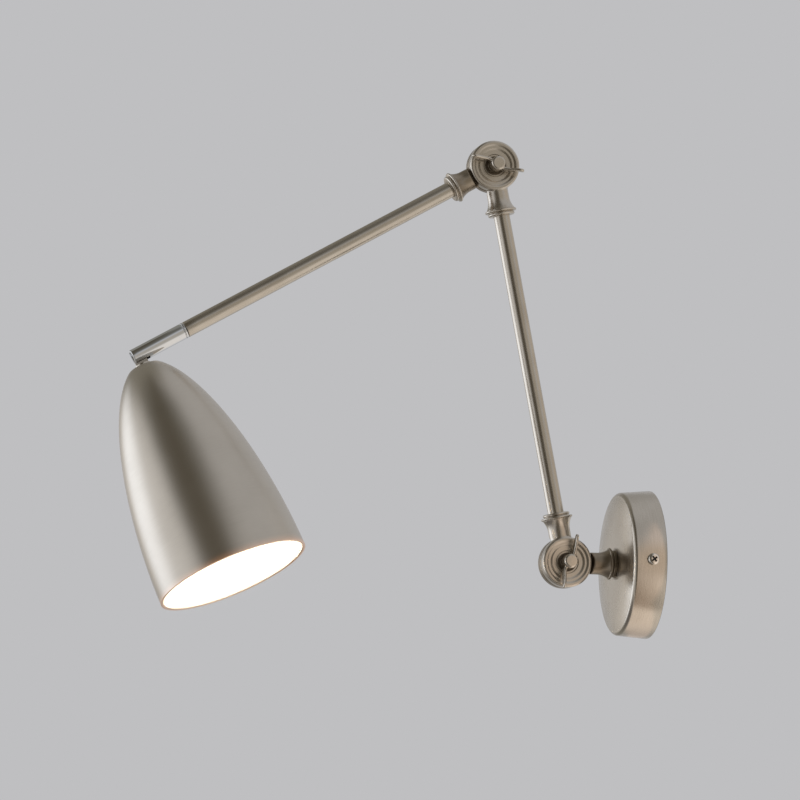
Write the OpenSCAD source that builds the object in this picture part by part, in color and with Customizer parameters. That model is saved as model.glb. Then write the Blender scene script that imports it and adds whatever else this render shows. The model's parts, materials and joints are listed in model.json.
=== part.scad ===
// Articulated wall lamp: a round canopy, two tube arms on wing nut knuckles,
// a swivel end and a bullet shaped shade that tilts on it.
// The wall is the plane y = 0, the lamp reaches out along -Y and +Z is up.
// The arms move in the plane x = 0, and the wing nuts are on the +X side.

/* [Pose] */
// Lower arm, angle above the horizontal
lower_arm_angle = 79; // [30:0.5:90]
// Upper arm, angle below the horizontal
upper_arm_drop = 29.8; // [5:0.1:32]
// Turn of the head about the upper arm
swivel_turn = 14; // [-60:1:60]
// Tilt of the shade from the line of the upper arm
head_tilt = 82.3; // [60:0.1:95]

/* [Canopy] */
// Diameter at the wall
canopy_d = 110; // [100:1:125]
// Diameter at the front edge
canopy_front_d = 106.4; // [96:0.2:120]
// Depth from the wall to the front edge
canopy_depth = 25; // [24:0.5:34]
// Height of the crown of the front face
canopy_crown = 1.3; // [0.5:0.1:3]
// Radius of the front edge
canopy_edge_r = 2; // [1.5:0.1:5]
// Thickness of the canopy sheet
canopy_wall = 1.2; // [0.8:0.1:2]
// Distance of the side screws from the wall
side_screw_at = 10.5; // [9:0.5:14]

/* [Wall bracket] */
// Thickness of the bracket
bracket_t = 2; // [1.5:0.1:3]
// Width of the bracket's straps
strap_w = 18; // [16:1:24]
// Length of the upright strap above the centre
strap_up = 40; // [37:1:46]
// Length of the upright strap below the centre
strap_down = 34; // [30:1:46]
// Distance between the two wall screw slots
slot_spacing = 62; // [56:1:70]
// Width of a wall screw slot
slot_w = 4.6; // [4:0.1:6]
// Length of a wall screw slot
slot_len = 14; // [10:1:18]
// Diameter of the cable hole in the middle
cable_hole_d = 15; // [12:0.5:16]

/* [Arms] */
// Distance between the lower arm's two pivots
lower_arm_len = 300; // [220:5:400]
// Distance from the elbow to the tilt axis of the shade
upper_arm_len = 304; // [220:1:400]
// Outer diameter of the arm tubes
tube_d = 12; // [11.6:0.1:13]
// Wall of the arm tubes
tube_wall = 1.3; // [1:0.1:1.4]
// Depth that a tube sits in its socket
socket_depth = 10; // [8:0.5:12]

/* [Knuckles] */
// Diameter of a knuckle disc
disc_d = 37.5; // [36:0.5:42]
// Thickness of the two discs together
knuckle_t = 17.4; // [16.8:0.1:20]
// Gap between the two discs
disc_gap = 0.8; // [0.7:0.05:1.2]
// Diameter of a socket's waist
waist_d = 16.2; // [15.8:0.1:17]
// Diameter of a socket's flange
flange_d = 23.5; // [22.5:0.1:26]
// Diameter of the bead beyond the flange
bead_d = 20; // [19:0.1:21.5]
// Length of a socket from the pivot to its end
socket_len = 37.2; // [36:0.1:42]
// Gap between a disc and the other part's neck
relief_gap = 1.7; // [1:0.1:2.5]
// Diameter of the clamp bolt
bolt_d = 5; // [4.6:0.1:5.4]

/* [Wing nuts] */
// Turn of the lower wing nut
lower_nut_turn = -18.4; // [-90:0.1:90]
// Turn of the upper wing nut
upper_nut_turn = -108.3; // [-180:0.1:0]
// Diameter of a wing nut's hub
hub_d = 10.5; // [9.5:0.1:12]
// Height of the hub above the disc
hub_h = 13.1; // [12:0.1:16]
// Span over the two wings
wing_span = 41; // [34:0.5:42]
// Thickness of a wing
wing_t = 2.2; // [1.6:0.1:3]

/* [Swivel end] */
// Length of the polished swivel end
swivel_len = 44.5; // [36:0.5:60]
// Distance from the tilt axis to the tip of the swivel end
swivel_tip = 5; // [4.8:0.1:6]
// Width of the slot for the shade's tongue
fork_slot = 5.2; // [4.8:0.1:5.6]
// Diameter of the tilt pin
tilt_pin_d = 3; // [2.6:0.1:3.4]
// Diameter of the swivel's spigot
spigot_d = 6.5; // [6.2:0.1:7]

/* [Shade] */
// Diameter of the shade at its mouth
shade_d = 112; // [100:1:130]
// Distance from the tilt axis to the mouth
shade_reach = 180.2; // [160:0.2:210]
// Distance from the tilt axis to the shade's flat top
shade_top = 10.4; // [10:0.1:13]
// Diameter of the shade's flat top
shade_top_d = 19; // [16:0.5:22]
// Fullness of the shade's curve
shade_power = 1.9; // [1.7:0.05:2.2]
// Thickness of the shade's sheet
shade_wall = 1; // [0.8:0.1:1.6]
// Thickness of the folded rim
rim_t = 2.4; // [1.8:0.1:3.5]

/* [Lamp holder and bulb] */
// Diameter of the lamp holder
holder_d = 40; // [36:0.5:44]
// Length of the lamp holder
holder_len = 44; // [40:0.5:52]
// Diameter of the screw cap of the bulb
cap_d = 26.4; // [25.4:0.1:27]
// Diameter of the bulb
bulb_d = 55; // [45:1:60]
// Length of the bulb's glass beyond the holder
bulb_len = 72; // [60:1:90]

/* [Wiring] */
// Diameter of the inner cable
cable_d = 4; // [3.6:0.1:4.2]
// Diameter of a single wire
wire_d = 1.5; // [1.2:0.1:1.7]

/* [Hidden] */

// Clearances
fit_gap = 0.05;      // radial gap of a running or push fit
face_gap = 0.1;      // axial gap between faces that turn on each other
seat_gap = 0.3;      // gap between a loose piece and what it lies on
over = 1;            // how far a cut runs past a face
$fn = 96;

// Colours
nickel = [0.66, 0.62, 0.57];
polished = [0.85, 0.86, 0.88];
zinc = [0.72, 0.74, 0.76];
brass_c = [0.80, 0.64, 0.32];
white_c = [0.94, 0.93, 0.90];
rubber_c = [0.13, 0.13, 0.13];

// Canopy, seen along the wall's normal
canopy_r = canopy_d / 2;
canopy_front_r = canopy_front_d / 2;
canopy_side_h = canopy_depth - canopy_edge_r;
canopy_face_h = canopy_depth + canopy_crown;
seat_r = bead_d / 2 + 0.6;
side_r = canopy_r - (canopy_r - canopy_front_r) * side_screw_at / canopy_side_h;
knuckle_reach = canopy_face_h + socket_len;

// Side screws
screw_d = 4;
screw_head_d = 8.8;
screw_head_h = 2.6;
screw_len = 9;
screw_clear = 0.3;
head_slope = (canopy_r - canopy_front_r) / canopy_side_h * screw_head_d / 2;
screw_seat = side_r + head_slope + fit_gap;
recess_w = 1.1;
recess_len = 4.4;
recess_h = 1.3;

// Bracket
ear_out = sqrt(pow(side_r - canopy_wall, 2) - pow(strap_w / 2, 2)) - seat_gap;
ear_reach = side_screw_at + 5.5;
slot_travel = slot_len - slot_w;
earth_at = strap_down - 8;

// Threaded nipple and what is on it
nipple_r = 5;
nipple_bore_r = cable_d / 2 + 1.4;
nipple_in_stub = 15;
nipple_in_canopy = 9;
lock_washer_t = 1;
lock_washer_r = 8.6;
nut_af = 14;
nut_h = 5;
inner_face_h = canopy_face_h - canopy_wall;

// Terminal block on the upright strap
block_w = 30;
block_h = 15;
block_t = 13;
block_at = strap_up - block_h / 2 - 3;
pole_pitch = 9.6;
pole_r = 2.6;
pole_bore_r = 1.6;
pole_out = bracket_t + 6.2;
pole_cover = 1.4;
pole_inset = 0.8;
block_top = pole_out + pole_r + pole_cover;
tower_r = 2.9;
tower_at = block_h * 0.3;
clamp_screw_r = 1.3;
clamp_screw_h = 5.5;
clamp_slot_w = 0.5;
clamp_slot_h = 0.6;
block_screw_d = 3;
block_screw_head_d = 4.6;
block_screw_head_h = 1.8;
lug_gap = 0.3;
lug_r = 4;
lug_top = bracket_t + 2 * (lug_gap + wire_d / 2);

// Knuckle halves
disc_r = disc_d / 2;
half_t = knuckle_t / 2;
half_gap = disc_gap / 2;
waist_r = waist_d / 2;
disc_edge_r = 1.85;
outer_step_r = disc_r - 2.3;
inner_step_r = disc_r - 5.3;
step_h = 0.6;
step_w = 1.6;
mouth_r = 0.6;
recess_r = 8.2;
recess_depth = 2.3;
floor_h = half_t - recess_depth;
pocket_r = disc_r - 4.25;
boss_r = 5;
pocket_h = floor_h - 1.5;
passage_r = tube_d / 2 - tube_wall;
neck_start = disc_r - 3.6;
flare_start = 24;
flange_at = socket_len - 4.4;
flange_t = 1.7;
bead_t = 2.2;
relief_r = disc_r + relief_gap;
bolt_r = bolt_d / 2;
bolt_neck = bolt_d;
bolt_head_r = 6;
bolt_head_h = 3.2;
ring_t = disc_gap - face_gap;
ring_in_r = pocket_r + 0.5;
ring_out_r = disc_r - 0.6;
clamp_washer_r = 6.9;
clamp_washer_t = 1;
washer_base = floor_h + face_gap;
nut_base = washer_base + clamp_washer_t + face_gap;
hub_top = half_t + hub_h;
wing_root_at = -1.2;
wing_tip_at = 0.5;
bolt_end = nut_base + 9;

// Swivel end, along the upper arm from its pivot
tube_r = tube_d / 2;
tube_end = upper_arm_len + swivel_tip - swivel_len;
shoulder_gap = 0.4;
bush_len = 16;
spigot_r = spigot_d / 2;
spigot_end = tube_end - bush_len - 4.5;
clip_at = tube_end - bush_len - face_gap - 1;
clip_t = 1;
clip_r = passage_r - seat_gap;
clip_groove = 0.4;
fork_bore_r = wire_d + 0.45;
fork_depth = swivel_tip + 6.5;
tongue_t = fork_slot - 1;
tilt_washer_t = (fork_slot - tongue_t) / 2 - face_gap;
pin_r = tilt_pin_d / 2;
tongue_w = 9;

// Head, along the shade's axis from the tilt axis
foot_r = 6;
foot_start = 8.4;
stem_r = 5;
stem_len = 14;
stem_bore_r = wire_d + 0.5;
shade_r = shade_d / 2;
shade_start = shade_top - 4.2;
shade_round = 1.4;
shade_steps = 30;
rim_h = 3;
shade_washer_r = 8.5;
shade_washer_t = 1;
washer_at = shade_top + shade_wall;
shade_nut_at = washer_at + shade_washer_t;
holder_at = shade_nut_at + nut_h;
holder_end = holder_at + holder_len;
holder_r = holder_d / 2;
holder_top_r = 11;
holder_shoulder = 9;
cap_r = cap_d / 2;
shell_t = 0.5;
shell_r = cap_r + 0.4;
shell_depth = 25;
cap_end = holder_end + 1.5;
cap_len = 24;
glass_t = 0.9;
neck_r = cap_r - 1;
bulb_r = bulb_d / 2;

// Inner cable
cable_r = cable_d / 2;
cable_side = half_gap + cable_r;
curl_r = (boss_r + pocket_r) / 2;
wire_r = wire_d / 2;

elbow = [0, -knuckle_reach - lower_arm_len * cos(lower_arm_angle), lower_arm_len * sin(lower_arm_angle)];

// Points of an arc about c, from angle a to angle b
function arc(c, r, a, b, n = 8) = [for (i = [0 : n])
    let (t = a + (b - a) * i / n) [c[0] + r * cos(t), c[1] + r * sin(t)]];

// Smooth curve through the points p, with n steps between two of them
function smooth(p, n = 4) = concat([for (i = [0 : len(p) - 2]) for (k = [0 : n - 1])
    let (a = p[max(i - 1, 0)], b = p[i], c = p[i + 1], d = p[min(i + 2, len(p) - 1)], t = k / n)
    0.5 * (2 * b + (c - a) * t + (2 * a - 5 * b + 4 * c - d) * t * t
        + (3 * b - a - 3 * c + d) * t * t * t)], [p[len(p) - 1]]);

function unit(v) = v / norm(v);

// Round wire of radius r along the points p; side is a direction that the route never takes
module wire_along(p, r, side, sides = 8) {
    last = len(p) - 1;
    points = [for (i = [0 : last])
        let (t = unit(p[min(i + 1, last)] - p[max(i - 1, 0)]), u = unit(cross(side, t)), v = cross(t, u))
        for (k = [0 : sides - 1]) p[i] + r * (cos(360 * k / sides) * u + sin(360 * k / sides) * v)];
    walls = [for (i = [0 : last - 1]) for (k = [0 : sides - 1]) for (half = [0, 1])
        let (a = i * sides + k, b = i * sides + (k + 1) % sides)
        half == 0 ? [a, a + sides, b] : [b, a + sides, b + sides]];
    start = [[for (k = [0 : sides - 1]) k]];
    end = [[for (k = [0 : sides - 1]) last * sides + sides - 1 - k]];
    polyhedron(points = points, faces = concat(start, walls, end));
}

// Frames: local +Z points out of the wall, along an arm or along the shade
module out_of_wall() {
    rotate([90, 0, 0]) children();
}
module at_stub() {
    translate([0, -knuckle_reach, 0]) rotate([-90, 0, 0]) children();
}
module at_lower_arm() {
    translate([0, -knuckle_reach, 0]) rotate([90 - lower_arm_angle, 0, 0]) children();
}
module at_upper_arm() {
    translate(elbow) rotate([90 + upper_arm_drop, 0, 0]) children();
}
module at_swivel() {
    at_upper_arm() translate([0, 0, upper_arm_len]) rotate([0, 0, swivel_turn]) children();
}
module at_head() {
    at_swivel() rotate([head_tilt, 0, 0]) children();
}

// Turns local +Z to +X, or to -X for side = -1
module along_x(side = 1) {
    rotate([0, 90 * side, 0]) children();
}

module ring(outer_r, inner_r, h) {
    difference() {
        cylinder(r = outer_r, h = h);
        translate([0, 0, -over]) cylinder(r = inner_r, h = h + 2 * over);
    }
}

module hex_nut(bore_r, h) {
    difference() {
        cylinder(r = nut_af / 2 / cos(30), h = h, $fn = 6);
        translate([0, 0, -over]) cylinder(r = bore_r, h = h + 2 * over);
    }
}

// Pan head screw along +Z with its seat at z = 0 and the shank going down
module pan_screw(d, head_d, head_h, len) {
    difference() {
        union() {
            rotate_extrude() polygon(concat([[0, 0], [head_d / 2 - 0.4, 0], [head_d / 2, 0.5]],
                arc([head_d / 2 - 1.4, head_h - 1.4], 1.4, 0, 90), [[0, head_h]]));
            translate([0, 0, -len]) cylinder(d = d, h = len + 0.1);
        }
        for (a = [0, 90]) rotate([0, 0, a])
            translate([-recess_len / 2 * head_d / screw_head_d, -recess_w / 2 * head_d / screw_head_d,
                head_h - recess_h])
                cube([recess_len * head_d / screw_head_d, recess_w * head_d / screw_head_d, recess_h + over]);
    }
}

// Outer profile of the canopy, and the inner one for inset = canopy_wall
function canopy_outline(inset) =
    let (edge = max(canopy_edge_r - inset, 0.3), front = canopy_front_r - inset,
        crown_r = front - edge)
    concat([[canopy_r - inset, inset == 0 ? 0 : -over], [front, canopy_depth - inset - edge]],
        arc([crown_r, canopy_depth - inset - edge], edge, 0, 90, 6),
        [for (i = [1 : 8]) let (r = crown_r - (crown_r - seat_r) * i / 8)
            [r, canopy_depth - inset + canopy_crown * (1 - pow((r - seat_r) / (crown_r - seat_r), 2))]],
        [[0, canopy_depth - inset + canopy_crown], [0, inset == 0 ? 0 : -over]]);

module canopy() {
    color(nickel) out_of_wall() difference() {
        rotate_extrude($fn = 144) polygon(canopy_outline(0));
        rotate_extrude($fn = 144) polygon(canopy_outline(canopy_wall));
        cylinder(r = nipple_r + fit_gap, h = canopy_face_h + over);
        for (side = [-1, 1]) translate([0, 0, side_screw_at]) along_x(side)
            cylinder(d = screw_d + 2 * screw_clear, h = canopy_r + over);
    }
}

module canopy_screws() {
    color(zinc) out_of_wall() for (side = [-1, 1]) translate([side * screw_seat, 0, side_screw_at])
        along_x(side) rotate([0, 0, 20]) pan_screw(screw_d, screw_head_d, screw_head_h, screw_len);
}

// Upright strap with rounded ends, from down below the centre to up above it
module upright_strap(up, down, w) {
    translate([-w / 2, w / 2 - down, 0]) cube([w, up + down - w, bracket_t]);
    for (y = [up - w / 2, w / 2 - down]) translate([0, y, 0]) cylinder(d = w, h = bracket_t);
}

module wall_bracket() {
    color(zinc) out_of_wall() difference() {
        union() {
            translate([-ear_out, -strap_w / 2, 0]) cube([2 * ear_out, strap_w, bracket_t]);
            upright_strap(strap_up, strap_down, strap_w);
            for (side = [-1, 1]) translate([side * (ear_out - bracket_t / 2), 0, 0]) {
                translate([-bracket_t / 2, -strap_w / 2, 0]) cube([bracket_t, strap_w, side_screw_at]);
                translate([-bracket_t / 2, 0, side_screw_at]) along_x()
                    cylinder(r = ear_reach - side_screw_at, h = bracket_t);
            }
        }
        translate([0, 0, -over]) cylinder(d = cable_hole_d, h = bracket_t + 2 * over);
        for (side = [-1, 1]) {
            translate([side * slot_spacing / 2, 0, -over]) {
                translate([-slot_travel / 2, -slot_w / 2, 0])
                    cube([slot_travel, slot_w, bracket_t + 2 * over]);
                for (x = [-1, 1]) translate([x * slot_travel / 2, 0, 0])
                    cylinder(d = slot_w, h = bracket_t + 2 * over);
            }
            translate([side * (ear_out + over), 0, side_screw_at]) along_x(-side)
                cylinder(d = screw_d + fit_gap, h = bracket_t + 2 * over);
        }
        translate([0, -earth_at, -over]) cylinder(d = screw_d + fit_gap, h = bracket_t + 2 * over);
        translate([pole_pitch / 2, block_at, -over])
            cylinder(d = block_screw_d + 2 * fit_gap, h = bracket_t + 2 * over);
    }
}

module earth_screw() {
    color(brass_c) out_of_wall() translate([0, -earth_at, lug_top])
        pan_screw(screw_d, screw_head_d, screw_head_h, lug_top);
}

// Points of a smooth rise from a to b, level at both ends
function soft_step(a, b, n = 5) = [for (i = [0 : n])
    let (t = i / n) [a[0] + (b[0] - a[0]) * t, a[1] + (b[1] - a[1]) * t * t * (3 - 2 * t)]];

// Profile of the outside face of a knuckle disc, from the middle to the edge
disc_outline = concat(
    [[0, floor_h], [recess_r, floor_h]],
    arc([recess_r + mouth_r, half_t - 2 * step_h - mouth_r], mouth_r, 180, 90, 4),
    soft_step([inner_step_r - step_w, half_t - 2 * step_h], [inner_step_r, half_t - step_h]),
    soft_step([outer_step_r - step_w, half_t - step_h], [outer_step_r, half_t]),
    arc([disc_r - disc_edge_r, half_t - disc_edge_r], disc_edge_r, 90, 0, 8),
    [[disc_r, half_gap + 0.5], [disc_r - 0.4, half_gap], [0, half_gap]]);

// Radius of the circle that the neck's flare follows
flare_rise = flange_at - flare_start;
flare_out = flange_d / 2 - 0.9 - waist_r;
flare_turn = 2 * atan(flare_out / flare_rise);
flare_r = flare_rise / sin(flare_turn);

// Profile of a socket along its arm: waist, flare, flange and bead
socket_outline = concat(
    [[0, neck_start], [waist_r, neck_start]],
    arc([waist_r + flare_r, flare_start], flare_r, 180, 180 - flare_turn, 10),
    arc([flange_d / 2 - flange_t / 2, flange_at + flange_t / 2], flange_t / 2, -60, 75, 6),
    [[bead_d / 2 - 0.7, socket_len - bead_t - 0.2]],
    arc([bead_d / 2 - bead_t / 2, socket_len - bead_t / 2], bead_t / 2, -70, 90, 7),
    [[0, socket_len]]);

// Half of a knuckle with its socket along +Z; side = 1 has its disc on +X
module knuckle_half(side, end_bore_r, end_bore_depth) {
    difference() {
        union() {
            along_x(side) rotate_extrude() polygon(disc_outline);
            rotate_extrude() polygon(socket_outline);
        }
        // room for the other half's disc
        along_x(-side) translate([0, 0, -half_gap])
            cylinder(r = relief_r, h = half_t + waist_r);
        // hollow for the cable, round the boss of the bolt
        along_x(side) translate([0, 0, half_gap - over]) difference() {
            cylinder(r = pocket_r, h = pocket_h - half_gap + over);
            cylinder(r = boss_r, h = pocket_h + 2 * over);
        }
        translate([0, 0, boss_r + 2]) cylinder(r = passage_r, h = socket_len);
        translate([0, 0, socket_len - end_bore_depth]) cylinder(r = end_bore_r, h = end_bore_depth + over);
        along_x(side) translate([0, 0, -over]) cylinder(r = bolt_r + fit_gap, h = half_t + 2 * over);
    }
}

// Rear half, with a square hole that keeps the bolt from turning
module rear_half(end_bore_r, end_bore_depth) {
    difference() {
        knuckle_half(-1, end_bore_r, end_bore_depth);
        translate([-floor_h - over, -bolt_neck / 2 - fit_gap, -bolt_neck / 2 - fit_gap])
            cube([over + 3, bolt_neck + 2 * fit_gap, bolt_neck + 2 * fit_gap]);
    }
}

// Clamp bolt along +X, with its round head in the rear disc
module knuckle_bolt() {
    color(nickel) along_x() {
        translate([0, 0, -floor_h]) {
            translate([-bolt_neck / 2, -bolt_neck / 2, 0]) cube([bolt_neck, bolt_neck, 2.8]);
            cylinder(r = bolt_r, h = floor_h + bolt_end);
            rotate([180, 0, 0]) rotate_extrude() polygon(concat([[0, 0], [bolt_head_r, 0]],
                [for (t = [10 : 10 : 80]) [bolt_head_r * cos(t), bolt_head_h * (0.3 + 0.7 * sin(t))]],
                [[0, bolt_head_h]]));
        }
    }
}

module friction_ring() {
    color(rubber_c) along_x() translate([0, 0, -half_gap]) ring(ring_out_r, ring_in_r, ring_t);
}

module clamp_washer() {
    color(zinc) along_x() translate([0, 0, washer_base])
        ring(clamp_washer_r, bolt_r + fit_gap, clamp_washer_t);
}

// One wing of a wing nut, as the outline of its side
wing_outline = let (tip = wing_span / 2, low = half_t + 1.2 - nut_base, high = hub_top - nut_base)
    concat([[0, low], [hub_d / 2, low], [tip * 0.55, low + 1.4], [tip - 3, high - 6.4]],
        arc([tip - 2.9, high - 3.2], 2.9, -60, 100, 8),
        [[tip * 0.72, high - 1.2], [tip * 0.52, high - 3.1], [hub_d / 2 + 0.8, high - 4.2], [0, high - 4.2]]);

// Outline of a wing seen along the bolt: off centre at the hub, bent the other way at the tip
wing_plan = let (tip = wing_span / 2 + over, n = 10,
    middle = [for (i = [0 : n]) let (t = i / n)
        [tip * t, wing_root_at + (wing_tip_at - wing_root_at) * t * t * (3 - 2 * t)]])
    concat([for (i = [0 : n]) middle[i] - [0, wing_t / 2]],
        [for (i = [0 : n]) middle[n - i] + [0, wing_t / 2]]);

// Wing nut along +X on the bolt, with its wings up and down
module wing_nut() {
    color(nickel) along_x() translate([0, 0, nut_base]) difference() {
        union() {
            rotate_extrude() polygon(concat([[0, 0], [hub_d / 2 + 0.5, 0], [hub_d / 2 + 0.5, 0.9],
                [hub_d / 2, 1.6]],
                arc([hub_d / 2 - 0.8, hub_top - nut_base - 0.8], 0.8, 0, 90, 5),
                [[0, hub_top - nut_base]]));
            for (a = [0, 180]) rotate([0, 0, a]) intersection() {
                rotate([90, 0, 0]) linear_extrude(hub_d, center = true) polygon(wing_outline);
                linear_extrude(hub_top) polygon(wing_plan);
            }
        }
        translate([0, 0, -over]) cylinder(r = bolt_r + fit_gap, h = bolt_end - nut_base + 0.6 + over);
    }
}

module wall_stub() {
    color(nickel) at_stub() rear_half(nipple_r + fit_gap, nipple_in_stub);
}

// Threaded nipple from the stub through the canopy
module stub_nipple() {
    color(zinc) at_stub() translate([0, 0, socket_len - nipple_in_stub])
        ring(nipple_r, nipple_bore_r, nipple_in_stub + canopy_wall + nipple_in_canopy);
}

// Toothed washer under the nut
module lock_washer() {
    color(zinc) out_of_wall() translate([0, 0, inner_face_h - lock_washer_t]) {
        ring(lock_washer_r - 1.2, nipple_r + 2 * fit_gap, lock_washer_t);
        for (a = [0 : 36 : 324]) rotate([0, 0, a]) translate([lock_washer_r - 1.6, -1, 0])
            cube([1.6, 2, lock_washer_t]);
    }
}

module nipple_nut() {
    color(brass_c) out_of_wall() translate([0, 0, inner_face_h - lock_washer_t - nut_h])
        hex_nut(nipple_r + fit_gap, nut_h);
}

module block_poles(r, extra) {
    for (x = [-pole_pitch, 0, pole_pitch]) translate([x, block_at - block_h / 2 - extra, pole_out])
        rotate([-90, 0, 0]) cylinder(r = r, h = block_h + 2 * extra, $fn = 48);
}

// One upright round piece over each end of each pole
module clamp_places(r, from, h) {
    for (x = [-pole_pitch, 0, pole_pitch]) for (side = [-1, 1])
        translate([x, block_at + side * tower_at, from]) cylinder(r = r, h = h, $fn = 48);
}

// Plastic terminal block with three poles
module terminal_block() {
    color(white_c) out_of_wall() difference() {
        union() {
            translate([-block_w / 2, block_at - block_h / 2, bracket_t])
                cube([block_w, block_h, block_top - bracket_t]);
            clamp_places(tower_r, bracket_t, block_t);
        }
        block_poles(pole_r + fit_gap, over);
        clamp_places(clamp_screw_r + 0.4, pole_out, block_t);
        for (side = [-1, 1]) translate([side * pole_pitch / 2, block_at, bracket_t - over])
            cylinder(d = block_screw_d + 2 * fit_gap, h = block_t + 2 * over, $fn = 32);
    }
}

module terminal_inserts() {
    color(brass_c) out_of_wall() difference() {
        block_poles(pole_r, -pole_inset);
        block_poles(pole_bore_r, over);
        clamp_places(clamp_screw_r + fit_gap, pole_out, block_t);
    }
}

module terminal_screws() {
    foot = pole_out + wire_r + fit_gap;
    color(zinc) out_of_wall() difference() {
        clamp_places(clamp_screw_r, foot, clamp_screw_h);
        for (side = [-1, 1]) translate([-block_w / 2, block_at + side * tower_at - clamp_slot_w / 2,
            foot + clamp_screw_h - clamp_slot_h]) cube([block_w, clamp_slot_w, over]);
    }
}

// Screw between two poles that holds the block on the bracket
module block_screw() {
    color(zinc) out_of_wall() translate([pole_pitch / 2, block_at, block_top])
        pan_screw(block_screw_d, block_screw_head_d, block_screw_head_h, block_top - bracket_t / 2);
}

module lower_bolt() {
    translate([0, -knuckle_reach, 0]) knuckle_bolt();
}
module lower_friction_ring() {
    translate([0, -knuckle_reach, 0]) friction_ring();
}
module lower_clamp_washer() {
    translate([0, -knuckle_reach, 0]) clamp_washer();
}
module lower_wing_nut() {
    translate([0, -knuckle_reach, 0]) rotate([lower_nut_turn, 0, 0]) wing_nut();
}
module upper_bolt() {
    at_upper_arm() knuckle_bolt();
}
module upper_friction_ring() {
    at_upper_arm() friction_ring();
}
module upper_clamp_washer() {
    translate(elbow) clamp_washer();
}
module upper_wing_nut() {
    translate(elbow) rotate([upper_nut_turn, 0, 0]) wing_nut();
}

module lower_arm_base() {
    color(nickel) at_lower_arm() knuckle_half(1, tube_r + fit_gap, socket_depth);
}
module lower_arm_head() {
    color(nickel) at_lower_arm() translate([0, 0, lower_arm_len]) rotate([180, 0, 0])
        knuckle_half(1, tube_r + fit_gap, socket_depth);
}
module upper_arm_base() {
    color(nickel) at_upper_arm() rear_half(tube_r + fit_gap, socket_depth);
}

// Tube between two heights on its arm
module arm_tube(from, to) {
    translate([0, 0, from]) ring(tube_r, passage_r, to - from);
}
module lower_arm_tube() {
    color(nickel) at_lower_arm()
        arm_tube(socket_len - socket_depth, lower_arm_len - socket_len + socket_depth);
}
module upper_arm_tube() {
    color(nickel) at_upper_arm() arm_tube(socket_len - socket_depth, tube_end);
}

// Half turn of the cable round a knuckle's bolt, from its end to the neck
function cable_curl(x) = [for (a = [-20, 10, 40]) [x, curl_r * cos(a), curl_r * sin(a)]];
function cable_neck(x) = [[x, curl_r * 0.42, curl_r * 1.13], [x, curl_r * 0.1, curl_r * 1.5],
    [x, 0, disc_r + 1]];

// Where the cable lies in the nipple's bore, how far it stands out of it, and its end inside the canopy
cable_in_bore = -nipple_bore_r + cable_r + seat_gap;
cable_out = 2.5;
stub_cable_end = socket_len + canopy_wall + nipple_in_canopy + cable_out;

module stub_cable() {
    color(rubber_c) at_stub() wire_along(smooth(concat(cable_curl(-cable_side), cable_neck(-cable_side),
        [[cable_in_bore, 0, socket_len - nipple_in_stub - 1], [cable_in_bore, 0, socket_len],
            [cable_in_bore, 0, stub_cable_end]])), cable_r, [0.9, 0, 0.1]);
}

module lower_arm_cable() {
    side = cable_side;
    start = concat(cable_curl(side), cable_neck(side));
    end = [for (i = [len(start) - 1 : -1 : 0]) [start[i][0], start[i][1], lower_arm_len - start[i][2]]];
    color(rubber_c) at_lower_arm() wire_along(concat(smooth(start), smooth(end)), cable_r, [1, 0, 0]);
}

module upper_arm_cable() {
    color(rubber_c) at_upper_arm() wire_along(concat(smooth(concat(cable_curl(-cable_side),
        cable_neck(-cable_side))), [[-cable_side, 0, spigot_end - 3]]), cable_r, [1, 0, 0]);
}

// Where the cable's three wires start inside the canopy, from the wall and round the cable's middle
wires_from = knuckle_reach - stub_cable_end - seat_gap;
wire_turn = wire_r + seat_gap;
wire_straight = 1.2;

// Wire that starts at an angle round the cable's middle, straight at first, and then takes its own points
module cable_wire(angle, points) {
    start = [cable_in_bore + wire_turn * cos(angle), wire_turn * sin(angle), wires_from];
    route = concat([start], smooth(concat([start - [0, 0, wire_straight]], points)));
    wire_along(route, wire_r, [1, 0, 0.02]);
}
module pole_wire(x, angle) {
    cable_wire(angle, [[x * 0.5, 5, wires_from - 4.6], [x, block_at - block_h / 2 - 5, pole_out],
        [x, block_at - block_h / 2 + 1, pole_out], [x, block_at, pole_out]]);
}
module live_wire() {
    color([0.45, 0.25, 0.12]) out_of_wall() pole_wire(-pole_pitch, 150);
}
module neutral_wire() {
    color([0.15, 0.3, 0.65]) out_of_wall() pole_wire(pole_pitch, 30);
}
module earth_wire() {
    color([0.45, 0.6, 0.15]) out_of_wall() {
        cable_wire(-90, [[0.5, -7, wires_from - 5.5], [1, -earth_at + 9, bracket_t + lug_gap + wire_r + 0.1],
            [0.3, -earth_at + 5.4, bracket_t + lug_gap + wire_r]]);
        translate([0, -earth_at, bracket_t + lug_gap]) {
            ring(lug_r, screw_d / 2 + 0.2, wire_d);
            translate([-0.4 * lug_r, 0.8 * lug_r, 0]) cube([0.8 * lug_r, 0.8 * lug_r, wire_d]);
        }
    }
}

// Bush in the end of the upper tube, in which the swivel turns
module swivel_bush() {
    color(brass_c) at_upper_arm() translate([0, 0, tube_end - bush_len])
        ring(passage_r - fit_gap / 2, spigot_r + fit_gap, bush_len);
}

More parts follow.
